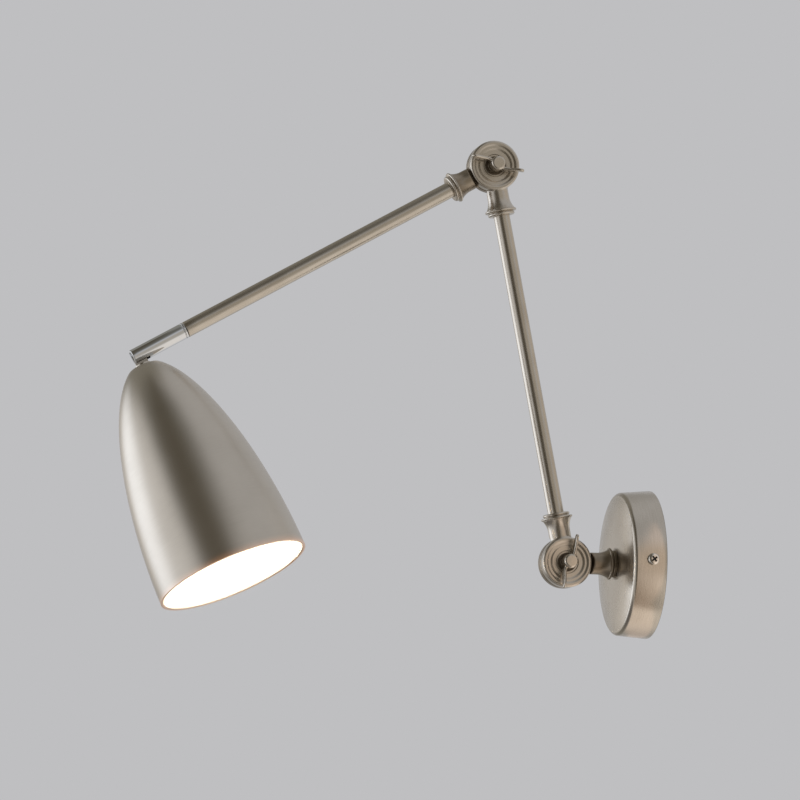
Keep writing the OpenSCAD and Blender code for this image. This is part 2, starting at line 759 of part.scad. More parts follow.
// Polished swivel end with its spigot, slot and holes for the tilt pin
module swivel_fork() {
    back = upper_arm_len - tube_end - shoulder_gap;
    color(polished) at_swivel() difference() {
        union() {
            translate([0, 0, -back]) rotate_extrude() polygon([[0, 0], [tube_r - 0.4, 0], [tube_r, 0.4],
                [tube_r, back + swivel_tip - 0.5], [tube_r - 0.5, back + swivel_tip],
                [0, back + swivel_tip]]);
            translate([0, 0, spigot_end - upper_arm_len])
                cylinder(r = spigot_r, h = upper_arm_len - back - spigot_end + over);
        }
        translate([0, 0, clip_at - upper_arm_len])
            ring(tube_r, spigot_r - clip_groove, clip_t);
        translate([0, 0, spigot_end - upper_arm_len - over])
            cylinder(r = fork_bore_r, h = upper_arm_len - spigot_end + over);
        translate([-fork_slot / 2, -tube_d, swivel_tip - fork_depth])
            cube([fork_slot, 2 * tube_d, fork_depth + over]);
        translate([-tube_d, 0, 0]) along_x() cylinder(r = pin_r + fit_gap / 2, h = 2 * tube_d);
    }
}

// Retaining ring in the spigot's groove, open on one side
module swivel_clip() {
    color(zinc) at_swivel() translate([0, 0, clip_at - upper_arm_len + fit_gap]) difference() {
        ring(clip_r, spigot_r - clip_groove + fit_gap, clip_t - 2 * fit_gap);
        translate([-1.2, 0, -over]) cube([2.4, tube_d, clip_t + 2 * over]);
    }
}

module swivel_wires() {
    color(rubber_c) at_swivel() for (side = [-1, 1])
        translate([side * (wire_r + 0.1), 0, spigot_end - upper_arm_len + 0.5])
            cylinder(r = wire_r, h = upper_arm_len + swivel_tip - fork_depth - spigot_end - 1, $fn = 24);
}

module tilt_pin() {
    color(polished) at_swivel() translate([-tube_r + 0.35, 0, 0]) along_x()
        cylinder(r = pin_r, h = 2 * tube_r - 0.7);
}

module tilt_washers() {
    color(white_c) at_swivel() for (side = [-1, 1])
        translate([side * (fork_slot / 2 - tilt_washer_t), 0, 0]) along_x(side)
            ring(swivel_tip - 0.7, pin_r + fit_gap / 2, tilt_washer_t);
}

// Tongue, foot and threaded stem that carry the shade
module shade_hinge() {
    color(nickel) at_head() difference() {
        union() {
            translate([-tongue_t / 2, 0, 0]) along_x() cylinder(d = tongue_w, h = tongue_t);
            translate([-tongue_t / 2, -tongue_w / 2, 0]) cube([tongue_t, tongue_w, foot_start + 0.2]);
            translate([0, 0, foot_start]) cylinder(r = foot_r, h = shade_top - foot_start);
            translate([0, 0, shade_top - 0.1]) cylinder(r = stem_r, h = stem_len + 0.1);
        }
        translate([-tube_r, 0, 0]) along_x() cylinder(r = pin_r + fit_gap, h = 2 * tube_r);
        translate([0, 0, foot_start]) cylinder(r = stem_bore_r, h = shade_top + stem_len);
        translate([0, 0, foot_start + 0.6]) rotate([-125, 0, 0]) cylinder(r = wire_r + 0.3, h = tongue_w);
    }
}

// Radius of the shade at a height on its axis
function shade_r_at(z) = let (u = (z - shade_start) / (shade_reach - shade_start))
    shade_r * pow(1 - pow(1 - u, shade_power), 1 / shade_power);
shade_join = shade_top + shade_round * 0.8;
function shade_z(i) = shade_join + (shade_reach - shade_join) * pow(i / shade_steps, 1.4);
function shade_point(i) = [shade_r_at(shade_z(i)), shade_z(i)];
function shade_normal(i) = let (t = unit(shade_point(min(i + 1, shade_steps))
    - shade_point(max(i - 1, 0)))) [-t[1], t[0]];

// Spun shade with a flat top, an open mouth and a folded rim
module shade() {
    outer = [for (i = [0 : shade_steps]) shade_point(i)];
    inner = [for (i = [shade_steps : -1 : 0]) if (shade_z(i) < shade_reach - rim_h)
        shade_point(i) + shade_wall * shade_normal(i)];
    rim_top = shade_reach - rim_h;
    color(nickel) at_head() rotate_extrude($fn = 144) polygon(concat(
        [[stem_r + 0.15, shade_top], [shade_top_d / 2, shade_top]], outer,
        [[shade_r - rim_t * 0.3, shade_reach + 0.3], [shade_r - rim_t * 0.7, shade_reach + 0.3],
            [shade_r - rim_t, shade_reach - 0.4], [shade_r - rim_t, rim_top + 1],
            [shade_r_at(rim_top) - shade_wall, rim_top]], inner,
        [[shade_top_d / 2 - 0.5, shade_top + shade_wall], [stem_r + 0.15, shade_top + shade_wall]]));
}

module shade_washer() {
    color(zinc) at_head() translate([0, 0, washer_at])
        ring(shade_washer_r, stem_r + 2 * fit_gap, shade_washer_t);
}
module shade_nut() {
    color(brass_c) at_head() translate([0, 0, shade_nut_at]) hex_nut(stem_r + fit_gap, nut_h);
}

// White lamp holder on the stem
module lamp_holder() {
    cavity_r = shell_r + shell_t + fit_gap;
    color(white_c) at_head() difference() {
        translate([0, 0, holder_at]) rotate_extrude() polygon(concat(
            [[0, 0], [holder_top_r, 0]],
            arc([holder_r - holder_shoulder, holder_shoulder], holder_shoulder, -60, 0, 8),
            [[holder_r, holder_len * 0.62], [holder_r - 1, holder_len * 0.62 + 0.8],
                [holder_r - 1, holder_len * 0.72], [holder_r, holder_len * 0.72 + 0.8]],
            arc([holder_r - 1.5, holder_len - 1.5], 1.5, 0, 90, 5), [[0, holder_len]]));
        translate([0, 0, holder_at - over]) cylinder(r = stem_r + fit_gap, h = holder_shoulder + over);
        translate([0, 0, holder_at + holder_shoulder - 2]) cylinder(r = holder_top_r - 1, h = 6);
        translate([0, 0, holder_end - shell_depth - 2]) cylinder(r = cavity_r, h = shell_depth + 2 + over);
    }
}

// Threaded brass shell in the holder
module holder_shell() {
    color(brass_c) at_head() translate([0, 0, holder_end - shell_depth - 2])
        difference() {
            cylinder(r = shell_r + shell_t, h = shell_depth - 1);
            translate([0, 0, 0.6]) cylinder(r = shell_r, h = shell_depth);
            translate([0, 0, -over]) cylinder(r = 8, h = 2 * over);
        }
}

// Spring tongue that feeds the bulb's tip
module holder_contact() {
    base = holder_end - shell_depth - 2;
    color(brass_c) at_head() translate([0, 0, base]) {
        cylinder(r = 3, h = cap_end - cap_len - 1.6 - base - fit_gap);
        translate([-7, -2.5, 0]) cube([14, 5, 0.8]);
    }
}

// Screw cap of the bulb, with its thread as rings
module bulb_cap() {
    rings = 6;
    pitch = 3;
    start = cap_end - cap_len;
    color(zinc) at_head() difference() {
        translate([0, 0, start]) rotate_extrude() polygon(concat([[0, 0], [cap_r - 4, 0]],
            [for (i = [0 : 4 * rings]) [cap_r - 0.3 - 0.3 * cos(90 * i), 2 + pitch * i / 4]],
            [[cap_r - 0.4, cap_len], [0, cap_len]]));
        translate([0, 0, start + 2.5]) cylinder(r = neck_r - 0.6, h = cap_len);
        translate([0, 0, cap_end - 6]) cylinder(r = neck_r + fit_gap, h = 6 + over);
    }
}

module bulb_contact() {
    color(zinc) at_head() translate([0, 0, cap_end - cap_len - 1.6]) {
        cylinder(r1 = 4, r2 = 5, h = 0.8);
        translate([0, 0, 0.8]) cylinder(r1 = 5, r2 = 8, h = 0.8);
    }
}

// Outline of the bulb for a wall inset, from the neck to the tip
function bulb_outline(inset) =
    let (r = bulb_r - inset, centre = holder_end + bulb_len - bulb_r, neck = neck_r - inset,
        start = cap_end - 5.5, flare = [neck, cap_end + 4], join = 148)
    concat([[neck, start], flare],
        [for (i = [1 : 7]) let (t = i / 8, low = centre + r * cos(join), wide = r * sin(join))
            [neck + (wide - neck) * (t * t * (3 - 2 * t) * (1 - t) + t * t),
                flare[1] + (low - flare[1]) * t]],
        [for (a = [join : -8 : 4]) [r * sin(a), centre + r * cos(a)]], [[0, centre + r]]);

module bulb_glass() {
    color(white_c) at_head() difference() {
        rotate_extrude() polygon(concat(bulb_outline(0), [[0, cap_end - 5.5]]));
        rotate_extrude() polygon(concat([[neck_r - glass_t, cap_end - 6.5]], bulb_outline(glass_t),
            [[0, cap_end - 6.5]]));
    }
}

// The two wires down the stem and into the holder
module head_wires() {
    color(rubber_c) at_head() for (side = [-1, 1])
        translate([side * (wire_r + 0.1), 0, foot_start + 1.5])
            cylinder(r = wire_r, h = holder_at + holder_shoulder + 1 - foot_start, $fn = 24);
}

wall_bracket();
canopy();
canopy_screws();
earth_screw();
wall_stub();
stub_nipple();
lock_washer();
nipple_nut();
terminal_block();
terminal_inserts();
terminal_screws();
block_screw();
stub_cable();
live_wire();
neutral_wire();
earth_wire();
lower_bolt();
lower_friction_ring();
lower_clamp_washer();
lower_wing_nut();
lower_arm_base();
lower_arm_tube();
lower_arm_head();
lower_arm_cable();
upper_arm_base();
upper_arm_tube();
upper_arm_cable();
swivel_bush();
upper_bolt();
upper_friction_ring();
upper_clamp_washer();
upper_wing_nut();
swivel_fork();
swivel_clip();
swivel_wires();
tilt_pin();
tilt_washers();
shade_hinge();
shade();
shade_washer();
shade_nut();
lamp_holder();
holder_shell();
holder_contact();
bulb_cap();
bulb_contact();
bulb_glass();
head_wires();
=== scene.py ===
"""Looks of an articulated wall lamp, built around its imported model.

The wall is the plane y = 0, the lamp reaches out along -Y and +Z is up. Sizes are in millimetres in a
piece's own frame, whose +Z runs along the piece's axis, and a Place turns them into metres on the lamp.
"""

import json
import logging
import math
from dataclasses import dataclass
from enum import Enum
from typing import Callable, Sequence

import bmesh
import bpy
import numpy as np
from mathutils import Matrix, Vector

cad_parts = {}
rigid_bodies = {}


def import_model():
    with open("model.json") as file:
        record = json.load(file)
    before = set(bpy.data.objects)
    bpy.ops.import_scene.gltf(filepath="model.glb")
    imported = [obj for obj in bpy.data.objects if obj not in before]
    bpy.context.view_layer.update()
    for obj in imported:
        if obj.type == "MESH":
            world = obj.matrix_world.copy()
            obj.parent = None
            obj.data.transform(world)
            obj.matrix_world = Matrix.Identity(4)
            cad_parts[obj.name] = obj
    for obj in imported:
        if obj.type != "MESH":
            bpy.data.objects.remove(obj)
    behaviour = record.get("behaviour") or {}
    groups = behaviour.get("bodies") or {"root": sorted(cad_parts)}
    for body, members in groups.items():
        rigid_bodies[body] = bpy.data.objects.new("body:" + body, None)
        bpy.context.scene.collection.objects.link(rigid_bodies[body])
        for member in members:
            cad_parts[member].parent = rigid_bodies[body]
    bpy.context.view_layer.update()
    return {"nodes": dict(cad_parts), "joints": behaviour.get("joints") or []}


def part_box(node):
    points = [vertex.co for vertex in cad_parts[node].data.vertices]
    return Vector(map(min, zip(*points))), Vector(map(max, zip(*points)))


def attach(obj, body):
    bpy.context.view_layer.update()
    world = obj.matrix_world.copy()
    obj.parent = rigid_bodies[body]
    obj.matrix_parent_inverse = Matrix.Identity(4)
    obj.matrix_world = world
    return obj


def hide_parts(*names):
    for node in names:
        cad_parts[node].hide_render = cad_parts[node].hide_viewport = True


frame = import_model()

log = logging.getLogger("wall_lamp")

MM = 0.001
LOCAL = "local_mm"
MARK_LENGTHS = 40
SHARP_EDGE = math.radians(42)
FLAT_CORNER = math.radians(158)
Profile = list[tuple[float, float]]


# Colours and nodes


def linear(hex_colour: str) -> tuple[float, float, float, float]:
    """Turns an sRGB hex colour into a linear one with full alpha.

    Args:
        hex_colour: six hex digits after a hash sign.

    Returns:
        Red, green, blue and alpha, as the shaders read them.
    """
    shares = [int(hex_colour[i:i + 2], 16) / 255 for i in (1, 3, 5)]
    return (*[s / 12.92 if s <= 0.04045 else ((s + 0.055) / 1.055) ** 2.4 for s in shares], 1.0)


def add_node(tree: bpy.types.NodeTree, kind: str, inputs: dict | None = None, **settings) -> bpy.types.Node:
    """Adds a node with its settings and links.

    Args:
        tree: the node tree that gets the node.
        kind: the node's type name.
        inputs: for each input's name or number, a value or the socket that feeds it.
        settings: the node's own options.

    Returns:
        The new node.
    """
    node = tree.nodes.new(kind)
    for key, value in settings.items():
        setattr(node, key, value)
    for socket, value in (inputs or {}).items():
        if isinstance(value, bpy.types.NodeSocket):
            tree.links.new(value, node.inputs[socket])
        else:
            node.inputs[socket].default_value = value
    return node


def new_material(name: str) -> tuple[bpy.types.Material, bpy.types.NodeTree, bpy.types.Node]:
    """Makes a material with its one main shader.

    Args:
        name: the material's name.

    Returns:
        The material, its node tree and its Principled shader.
    """
    material = bpy.data.materials.new(name)
    material.use_nodes = True
    return material, material.node_tree, material.node_tree.nodes["Principled BSDF"]


class Grain(Enum):
    """Which way the finishing marks run on a piece."""

    AROUND = "around"
    ALONG = "along"
    RINGS = "rings"
    CAST = "cast"


def own_millimetres(tree: bpy.types.NodeTree) -> bpy.types.NodeSocket:
    """Gives a made piece's own coordinates, in millimetres."""
    return add_node(tree, "ShaderNodeAttribute", attribute_name=LOCAL).outputs["Vector"]


def frame_millimetres(tree: bpy.types.NodeTree) -> bpy.types.NodeSocket:
    """Gives the lamp's coordinates, in millimetres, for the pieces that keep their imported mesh."""
    place = add_node(tree, "ShaderNodeTexCoord").outputs["Object"]
    return add_node(tree, "ShaderNodeVectorMath", {0: place, "Scale": 1 / MM}, operation="SCALE").outputs[0]


def stretched(tree: bpy.types.NodeTree, place: bpy.types.NodeSocket, grain: Grain,
              mark: float) -> bpy.types.NodeSocket:
    """Scales coordinates so that a noise over them runs the way of the finishing marks.

    Args:
        tree: the node tree.
        place: coordinates in millimetres.
        grain: which way the marks run.
        mark: width of one mark, in millimetres.

    Returns:
        The scaled coordinates.
    """
    fast, slow = 1 / mark, 1 / (MARK_LENGTHS * mark)
    if grain is Grain.RINGS:
        flat = add_node(tree, "ShaderNodeVectorMath", {0: place, 1: (1, 1, 0)}, operation="MULTIPLY")
        radius = add_node(tree, "ShaderNodeVectorMath", {0: flat.outputs[0]}, operation="LENGTH")
        place = add_node(tree, "ShaderNodeCombineXYZ", {"X": radius.outputs["Value"]}).outputs[0]
    scale = {Grain.AROUND: (slow, slow, fast), Grain.ALONG: (fast, fast, slow)}.get(grain, (fast,) * 3)
    return add_node(tree, "ShaderNodeVectorMath", {0: place, 1: scale}, operation="MULTIPLY").outputs[0]


# Finishes


@dataclass(frozen=True)
class Metal:
    """A metal surface with finishing marks, faint clouds in its colour and an uneven gloss."""

    name: str
    hue: str
    cloud_hue: str
    roughness: float
    spread: float
    mark: float
    bump: float
    grain: Grain = Grain.CAST
    cloud: float = 22.0
    packed: bool = False

    def build(self) -> bpy.types.Material:
        """Makes the material."""
        material, tree, shader = new_material(self.name)
        place = frame_millimetres(tree) if self.packed else own_millimetres(tree)
        marks = add_node(tree, "ShaderNodeTexNoise", {
            "Vector": stretched(tree, place, self.grain, self.mark), "Scale": 1.0, "Detail": 3.0,
            "Roughness": 0.6}).outputs["Fac"]
        clouds = add_node(tree, "ShaderNodeTexNoise", {
            "Vector": place, "Scale": 1 / self.cloud, "Detail": 2.0}).outputs["Fac"]
        both = add_node(tree, "ShaderNodeMath", {0: marks, 1: clouds}, operation="MULTIPLY").outputs[0]
        share = add_node(tree, "ShaderNodeMapRange", {
            "Value": both, "From Min": 0.12, "From Max": 0.42}).outputs["Result"]
        colour = add_node(tree, "ShaderNodeMix", {
            "Factor": share, "A": linear(self.hue), "B": linear(self.cloud_hue)}, data_type="RGBA")
        gloss = add_node(tree, "ShaderNodeMapRange", {
            "Value": marks, "From Min": 0.3, "From Max": 0.7, "To Min": self.roughness - self.spread,
            "To Max": self.roughness + self.spread}).outputs["Result"]
        relief = add_node(tree, "ShaderNodeBump", {
            "Height": marks, "Strength": self.bump, "Distance": self.mark * MM}).outputs["Normal"]
        shader.inputs["Metallic"].default_value = 1.0
        tree.links.new(colour.outputs["Result"], shader.inputs["Base Color"])
        tree.links.new(gloss, shader.inputs["Roughness"])
        tree.links.new(relief, shader.inputs["Normal"])
        return material


@dataclass(frozen=True)
class SatinNickel(Metal):
    """Nickel plate on brushed brass and steel: warm grey, with a soft gloss drawn out by the marks."""

    name: str = "satin_nickel"
    hue: str = "#CFC8BD"
    cloud_hue: str = "#C1B9AD"
    roughness: float = 0.29
    spread: float = 0.035
    mark: float = 0.3
    bump: float = 0.05


@dataclass(frozen=True)
class ShadeNickel(SatinNickel):
    """The shade's nickel, with a painted warm glow, emitted next to the rim, that stands for light the lit
    mouth spills.
    """

    name: str = "satin_nickel_shade"
    cloud_hue: str = "#C9C2B7"
    grain: Grain = Grain.AROUND
    roughness: float = 0.33
    rim_at: float = 180.0
    spill: str = "#FFA768"
    spill_reach: float = 6.0
    spill_strength: float = 0.16
    spill_fall: float = 2.2

    def build(self) -> bpy.types.Material:
        """Makes the material."""
        material = super().build()
        tree = material.node_tree
        shader = tree.nodes["Principled BSDF"]
        height = add_node(tree, "ShaderNodeSeparateXYZ", {0: own_millimetres(tree)}).outputs["Z"]
        near = add_node(tree, "ShaderNodeMapRange", {
            "Value": height, "From Min": self.rim_at - self.spill_reach, "From Max": self.rim_at,
            "To Max": 1.0}).outputs["Result"]
        level = add_node(tree, "ShaderNodeMath", {0: near, 1: self.spill_fall}, operation="POWER").outputs[0]
        level = add_node(tree, "ShaderNodeMath", {0: level, 1: self.spill_strength}, operation="MULTIPLY")
        # Painted light: a warm emission that fades in towards the rim
        shader.inputs["Emission Color"].default_value = linear(self.spill)
        tree.links.new(level.outputs[0], shader.inputs["Emission Strength"])
        return material


# Painted shade: a dull, blotched dark brown nickel where shadow falls, at the canopy's back edge and hole and
# in the knuckle recesses
SHADE_PAINT_NICKEL = SatinNickel(name="tarnished_nickel", hue="#4E4438", cloud_hue="#3C342B", roughness=0.5,
                        cloud=4.0)


@dataclass(frozen=True)
class PolishedChrome(Metal):
    """Chrome on polished brass: neutral, mirror bright, with only faint wiping marks."""

    name: str = "polished_chrome"
    hue: str = "#E6E8EA"
    cloud_hue: str = "#DCDFE2"
    roughness: float = 0.05
    spread: float = 0.015
    mark: float = 0.5
    bump: float = 0.004


@dataclass(frozen=True)
class ZincPlate(Metal):
    """Zinc plated steel, pressed and barrel plated: bluish grey and slightly blotched."""

    name: str = "zinc_plate"
    hue: str = "#C3C8CC"
    cloud_hue: str = "#A9AFB2"
    roughness: float = 0.36
    spread: float = 0.07
    mark: float = 0.6
    bump: float = 0.08
    cloud: float = 6.0
    packed: bool = True


@dataclass(frozen=True)
class TurnedBrass(Metal):
    """Plain brass, turned and left bare: yellow, with a dull bloom in places."""

    name: str = "turned_brass"
    hue: str = "#E0C07A"
    cloud_hue: str = "#BE9C5A"
    roughness: float = 0.27
    spread: float = 0.06
    mark: float = 0.4
    bump: float = 0.06
    cloud: float = 5.0
    packed: bool = True


@dataclass(frozen=True)
class Moulded:
    """Moulded or extruded plastic and rubber: even colour, fine grain from the mould, soft gloss."""

    name: str
    hue: str
    cloud_hue: str
    roughness: float
    grit: float = 0.5
    bump: float = 0.12
    ior: float = 1.5
    spread: float = 0.06
    cloud: float = 12.5

    def build(self) -> bpy.types.Material:
        """Makes the material."""
        material, tree, shader = new_material(self.name)
        place = frame_millimetres(tree)
        grain = add_node(tree, "ShaderNodeTexNoise", {
            "Vector": place, "Scale": 1 / self.grit, "Detail": 2.0}).outputs["Fac"]
        clouds = add_node(tree, "ShaderNodeTexNoise", {
            "Vector": place, "Scale": 1 / self.cloud, "Detail": 2.0}).outputs["Fac"]
        colour = add_node(tree, "ShaderNodeMix", {
            "Factor": clouds, "A": linear(self.hue), "B": linear(self.cloud_hue)}, data_type="RGBA")
        gloss = add_node(tree, "ShaderNodeMapRange", {
            "Value": grain, "To Min": self.roughness - self.spread, "To Max": self.roughness + self.spread})
        relief = add_node(tree, "ShaderNodeBump", {
            "Height": grain, "Strength": self.bump, "Distance": 0.1 * MM})
        shader.inputs["IOR"].default_value = self.ior
        tree.links.new(colour.outputs["Result"], shader.inputs["Base Color"])
        tree.links.new(gloss.outputs["Result"], shader.inputs["Roughness"])
        tree.links.new(relief.outputs["Normal"], shader.inputs["Normal"])
        return material


@dataclass(frozen=True)
class WhiteEnamel:
    """Sprayed white enamel inside the shade: its orange peel is 1.5 mm across and very shallow."""

    hue: str = "#F4F0E8"
    peel: float = 1.5
    roughness: float = 0.38
    bump: float = 0.12

    def build(self) -> bpy.types.Material:
        """Makes the material."""
        material, tree, shader = new_material("white_enamel")
        place = own_millimetres(tree)
        peel = add_node(tree, "ShaderNodeTexNoise", {
            "Vector": place, "Scale": 1 / self.peel, "Detail": 2.0}).outputs["Fac"]
        relief = add_node(tree, "ShaderNodeBump", {
            "Height": peel, "Strength": self.bump, "Distance": 0.1 * MM})
        shader.inputs["Base Color"].default_value = linear(self.hue)
        shader.inputs["Roughness"].default_value = self.roughness
        tree.links.new(relief.outputs["Normal"], shader.inputs["Normal"])
        return material


@dataclass(frozen=True)
class OpalGlass:
    """Opal glass of a lit lamp: an even warm white glow under a glossy skin."""

    hue: str = "#F7F3EA"
    glow: str = "#FFF4E6"
    strength: float = 8.0
    uneven: float = 0.08
    cloud: float = 20.0
    roughness: float = 0.12
    ior: float = 1.5

    def build(self) -> bpy.types.Material:
        """Makes the material."""
        material, tree, shader = new_material("opal_glass")
        shader.inputs["Base Color"].default_value = linear(self.hue)
        shader.inputs["Roughness"].default_value = self.roughness
        shader.inputs["IOR"].default_value = self.ior
        shader.inputs["Emission Color"].default_value = linear(self.glow)
        fade = add_node(tree, "ShaderNodeTexNoise", {
            "Vector": own_millimetres(tree), "Scale": 1 / self.cloud, "Detail": 1.0}).outputs["Fac"]
        level = add_node(tree, "ShaderNodeMapRange", {
            "Value": fade, "To Min": (1 - self.uneven) * self.strength,
            "To Max": (1 + self.uneven) * self.strength})
        tree.links.new(level.outputs["Result"], shader.inputs["Emission Strength"])
        return material


# Places and meshes


@dataclass(frozen=True)
class Place:
    """A piece's own frame on the lamp: its origin, its +Z and the rough way of its +X."""

    origin: Vector
    z: Vector
    x: Vector

    def matrix(self) -> Matrix:
        """Gives the step from millimetres in the piece's frame to metres on the lamp."""
        z = self.z.normalized()
        y = z.cross(self.x).normalized()
        turn = Matrix((y.cross(z), y, z)).transposed().to_4x4()
        return Matrix.Translation(self.origin) @ turn @ Matrix.Scale(MM, 4)


def arc(centre: tuple[float, float], radius: float, start: float, end: float, steps: int = 8) -> Profile:
    """Gives points on an arc.

    Args:
        centre: the arc's centre.
        radius: its radius.
        start: the first angle, in degrees.
        end: the last angle, in degrees.
        steps: how many parts the arc has.

    Returns:
        The points from start to end.
    """
    turns = [math.radians(start + (end - start) * i / steps) for i in range(steps + 1)]
    return [(centre[0] + radius * math.cos(t), centre[1] + radius * math.sin(t)) for t in turns]


def softened(points: Sequence[tuple[float, float]], radius: float = 0.3, steps: int = 4) -> Profile:
    """Rounds the corners of an outline, as polishing does.

    Args:
        points: the outline.
        radius: how far from a corner its rounding starts.
        steps: how many parts a rounding has.

    Returns:
        The outline with rounded corners.
    """
    out: Profile = [tuple(points[0])]
    for before, corner, after in zip(points, points[1:], points[2:]):
        c = Vector(corner)
        back, on = Vector(before) - c, Vector(after) - c
        if back.length < 1e-6 or on.length < 1e-6 or back.angle(on) > FLAT_CORNER:
            out.append(tuple(corner))
            continue
        cut = min(radius, 0.45 * back.length, 0.45 * on.length)
        start, end = c + back.normalized() * cut, c + on.normalized() * cut
        for k in range(steps + 1):
            t = k / steps
            out.append(tuple(start * (1 - t) ** 2 + c * 2 * t * (1 - t) + end * t ** 2))
    out.append(tuple(points[-1]))
    return out


def new_object(name: str, mesh: bpy.types.Mesh) -> bpy.types.Object:
    """Puts a mesh into the scene as an object."""
    piece = bpy.data.objects.new(name, mesh)
    bpy.context.scene.collection.objects.link(piece)
    return piece


def turned(name: str, profile: Profile, place: Place, steps: int = 144, closed: bool = False,
           inner: Callable[[float, float], bool] | None = None) -> bpy.types.Object:
    """Turns a profile of radius and height about a frame's +Z.

    Args:
        name: the object's name.
        profile: points of radius and height; a radius of 0 makes a pole.
        place: the frame.
        steps: how many parts the circle has.
        closed: whether the last point joins the first.
        inner: says by radius and height which stretches take the second material.

    Returns:
        The object, with its mesh in the lamp's frame.
    """
    angles = [2 * math.pi * k / steps for k in range(steps)]
    vertices: list[tuple[float, float, float]] = []
    rings: list[list[int]] = []
    for radius, height in profile:
        count = 1 if radius < 1e-6 else steps
        rings.append(list(range(len(vertices), len(vertices) + count)))
        vertices += [(radius * math.cos(a), radius * math.sin(a), height) for a in angles[:count]]
    pairs = list(zip(range(len(rings) - 1), range(1, len(rings))))
    if closed:
        pairs.append((len(rings) - 1, 0))
    faces, second = [], []
    for i, j in pairs:
        a, b = rings[i], rings[j]
        mid = [(p + q) / 2 for p, q in zip(profile[i], profile[j])]
        for k in range(steps if max(len(a), len(b)) > 1 else 0):
            n = (k + 1) % steps
            corners = [a[k % len(a)], a[n % len(a)], b[n % len(b)], b[k % len(b)]]
            faces.append(list(dict.fromkeys(corners)))
            second.append(1 if inner and inner(*mid) else 0)
    mesh = bpy.data.meshes.new(name)
    mesh.from_pydata(vertices, [], faces)
    mesh.polygons.foreach_set("material_index", second)
    made = bmesh.new()
    made.from_mesh(mesh)
    bmesh.ops.recalc_face_normals(made, faces=made.faces)
    made.to_mesh(mesh)
    made.free()
    mesh.transform(place.matrix())
    return new_object(name, mesh)


def made_object(name: str, made: bmesh.types.BMesh, place: Place) -> bpy.types.Object:
    """Turns a shape that was built in a frame's millimetres into an object on the lamp."""
    mesh = bpy.data.meshes.new(name)
    made.to_mesh(mesh)
    made.free()
    mesh.transform(place.matrix())
    return new_object(name, mesh)


def block(name: str, corners: tuple[Sequence[float], Sequence[float]], place: Place) -> bpy.types.Object:
    """Makes a box between two corners of a frame, as a cutter."""
    made = bmesh.new()
    low, high = Vector(corners[0]), Vector(corners[1])
    bmesh.ops.create_cube(made, size=1.0, matrix=Matrix.Translation((low + high) / 2)
                          @ Matrix.Diagonal((*(high - low), 1.0)))
    return made_object(name, made, place)


def settle(piece: bpy.types.Object) -> None:
    """Applies an object's modifiers to its mesh."""
    graph = bpy.context.evaluated_depsgraph_get()
    mesh = bpy.data.meshes.new_from_object(piece.evaluated_get(graph))
    old = piece.data
    piece.modifiers.clear()
    piece.data = mesh
    bpy.data.meshes.remove(old)


def combine(piece: bpy.types.Object, other: bpy.types.Object, operation: str) -> None:
    """Joins another object to a piece, or cuts it out, and removes the other.

    Args:
        piece: the object that stays.
        other: the object that is added or taken away.
        operation: UNION or DIFFERENCE.
    """
    boolean = piece.modifiers.new("combine", "BOOLEAN")
    boolean.object = other
    boolean.operation = operation
    boolean.solver = "EXACT"
    settle(piece)
    bpy.data.objects.remove(other)


def fused(piece: bpy.types.Object, voxel: float) -> None:
    """Makes one continuous skin over a piece, as a casting has.

    Args:
        piece: the object.
        voxel: size of the skin's faces, in millimetres.
    """
    remesh = piece.modifiers.new("skin", "REMESH")
    remesh.mode = "VOXEL"
    remesh.voxel_size = voxel * MM
    settle(piece)


def smoothed(piece: bpy.types.Object, place: Place, repeats: int,
             weight: Callable[[np.ndarray], np.ndarray] | None = None) -> None:
    """Smooths a piece, all over or by a weight on its own coordinates.

    Args:
        piece: the object.
        place: the frame in which the weight is given.
        repeats: how many times the smoothing runs.
        weight: gives each point's share from 0 to 1, from its coordinates in millimetres.
    """
    smooth = piece.modifiers.new("smooth", "SMOOTH")
    smooth.factor = 0.5
    smooth.iterations = repeats
    if weight:
        shares = weight(own_points(piece, place))
        group = piece.vertex_groups.new(name="smooth")
        for i in np.flatnonzero(shares > 0.01):
            group.add([int(i)], float(shares[i]), "REPLACE")
        smooth.vertex_group = group.name
    settle(piece)
    piece.vertex_groups.clear()


def own_points(piece: bpy.types.Object, place: Place) -> np.ndarray:
    """Gives a mesh's points in a frame's own millimetres."""
    points = np.empty(len(piece.data.vertices) * 3)
    piece.data.vertices.foreach_get("co", points)
    back = np.array(place.matrix().inverted())
    return points.reshape(-1, 3) @ back[:3, :3].T + back[:3, 3]


# Sub-assemblies


